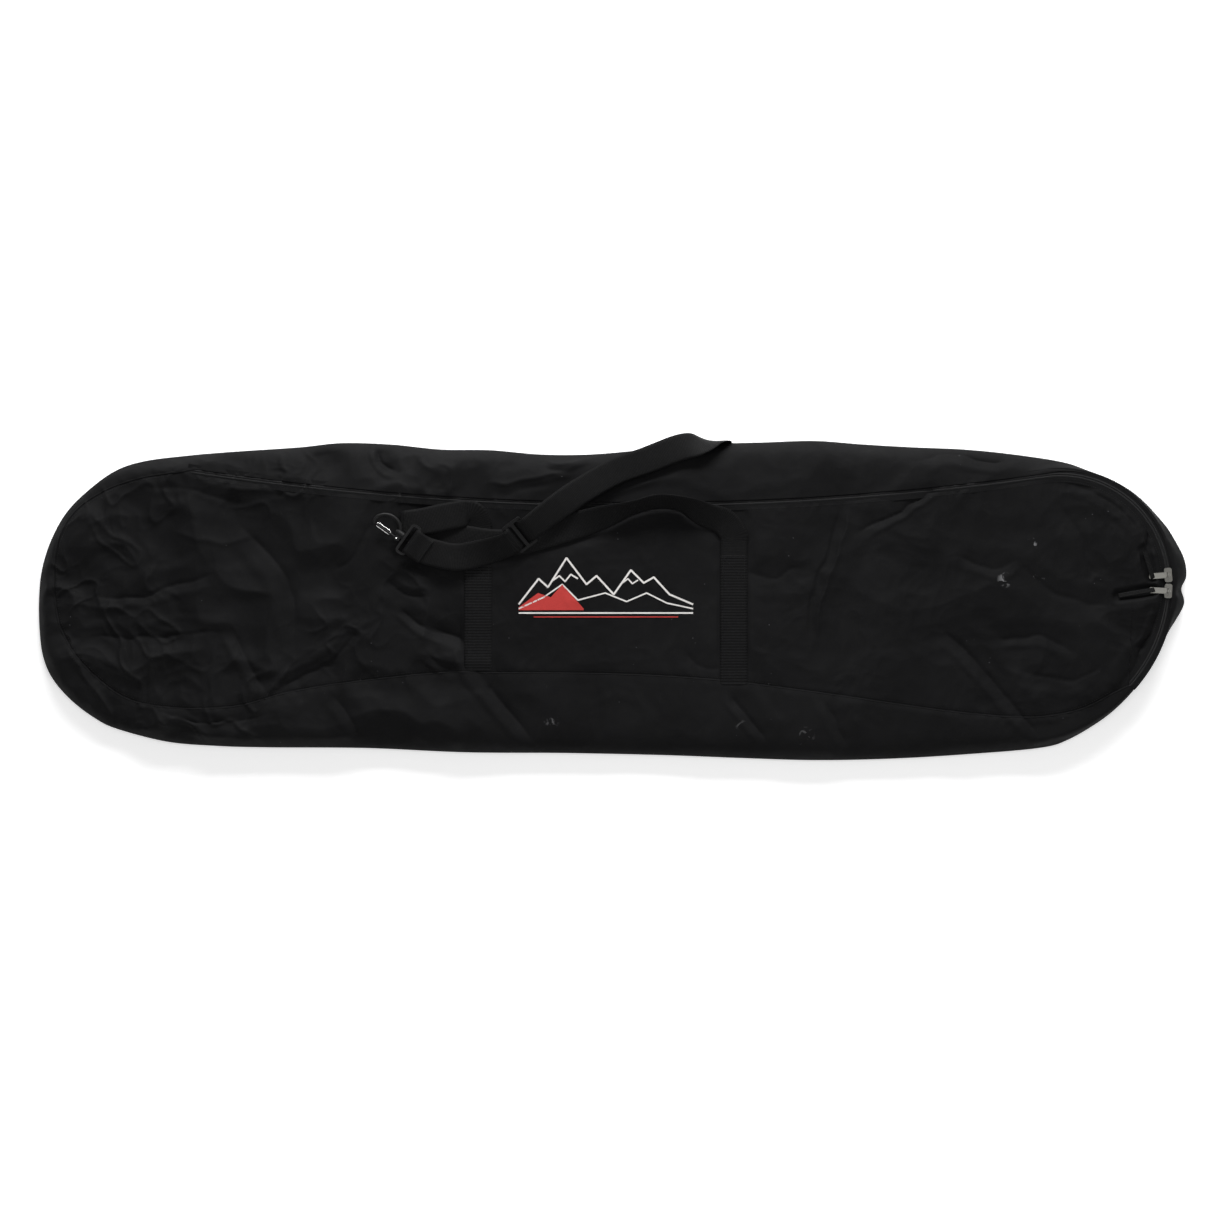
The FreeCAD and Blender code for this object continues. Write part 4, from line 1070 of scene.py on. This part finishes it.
def makeFloor():
    # white bowl, flat under the bag and rising far out; its glow grows away from the bag, so the shadow stays
    material, nodes, links, shader = newMaterial("white floor")
    shader.inputs["Base Color"].default_value = (0.92, 0.92, 0.92, 1)
    shader.inputs["Roughness"].default_value = 0.9
    place = nodes.new("ShaderNodeTexCoord").outputs["Object"]
    away = addNode(nodes, "ShaderNodeVectorMath", operation="LENGTH")
    links.new(place, away.inputs[0])
    near, far = stageSize["clear"]
    grow = rangeOf(nodes, links, away.outputs["Value"],
                   {"From Min": near, "From Max": far, "To Min": stageSize["nearGlow"]})
    path = nodes.new("ShaderNodeLightPath")
    seen = path.outputs["Is Camera Ray"]
    for ray in ("Is Glossy Ray", "Is Transmission Ray"):
        seen = mathOf(nodes, links, "MAXIMUM", seen, path.outputs[ray])
    glow = mathOf(nodes, links, "MULTIPLY", seen, grow)
    shader.inputs["Emission Color"].default_value = (1, 1, 1, 1)
    links.new(glow, shader.inputs["Emission Strength"])
    r = np.array([0.001, 0.5, 1.5, 3, 6, 9, 10.5, 11.4, stageSize["radius"], stageSize["radius"] + 0.3])
    z = -0.0005 + stageSize["wall"] * smoothStep((r - 9) / (r[-1] - 9))
    a = np.linspace(0, 2 * math.pi, 72, endpoint=False)
    grid = np.stack([r[:, None] * np.cos(a), r[:, None] * np.sin(a), z[:, None] + 0 * a], -1)
    floor = gridPiece("floor", grid, material, wrapCols=True)


def areaLamp(name, place, aim, wide, power):
    # rectangular lamp turned towards its aim
    lamp = bpy.data.lights.new(name, "AREA")
    lamp.shape = "RECTANGLE"
    lamp.size, lamp.size_y = wide
    lamp.energy = power
    thing = bpy.data.objects.new(name, lamp)
    bpy.context.scene.collection.objects.link(thing)
    thing.location = place
    thing.rotation_euler = (Vector(place) - Vector(aim)).to_track_quat("Z", "Y").to_euler()


makeFloor()
# each lamp: place, aim, width and length, power in watts
lamps = {"keyLamp": ((0.1, 2.4, 1.3), (0.1, 0, 0), (2.4, 0.7), 112),
         "fillLamp": ((1.4, -2.2, 2.4), (0, 0, 0), (2.0, 0.9), 12),
         "topLamp": ((0, 0.2, 3.2), (0, 0, 0), (2.0, 1.0), 18)}
for name, values in lamps.items():
    areaLamp(name, *values)
world = bpy.data.worlds.new("studio")
bpy.context.scene.world = world
world.use_nodes = True
world.node_tree.nodes["Background"].inputs["Color"].default_value = (1, 1, 1, 1)
world.node_tree.nodes["Background"].inputs["Strength"].default_value = stageSize["sky"]
print("stage made")

view = {"height": 4.2, "span": 1.716, "middle": (0.001, -0.018)}
camera = bpy.data.cameras.new("camera")
camera.sensor_width = 36.0
camera.lens = 36.0 * (view["height"] - 0.03) / view["span"]
cameraThing = bpy.data.objects.new("camera", camera)
bpy.context.scene.collection.objects.link(cameraThing)
cameraThing.location = (*view["middle"], view["height"])
bpy.context.scene.camera = cameraThing
bpy.context.scene.view_settings.view_transform = "Standard"
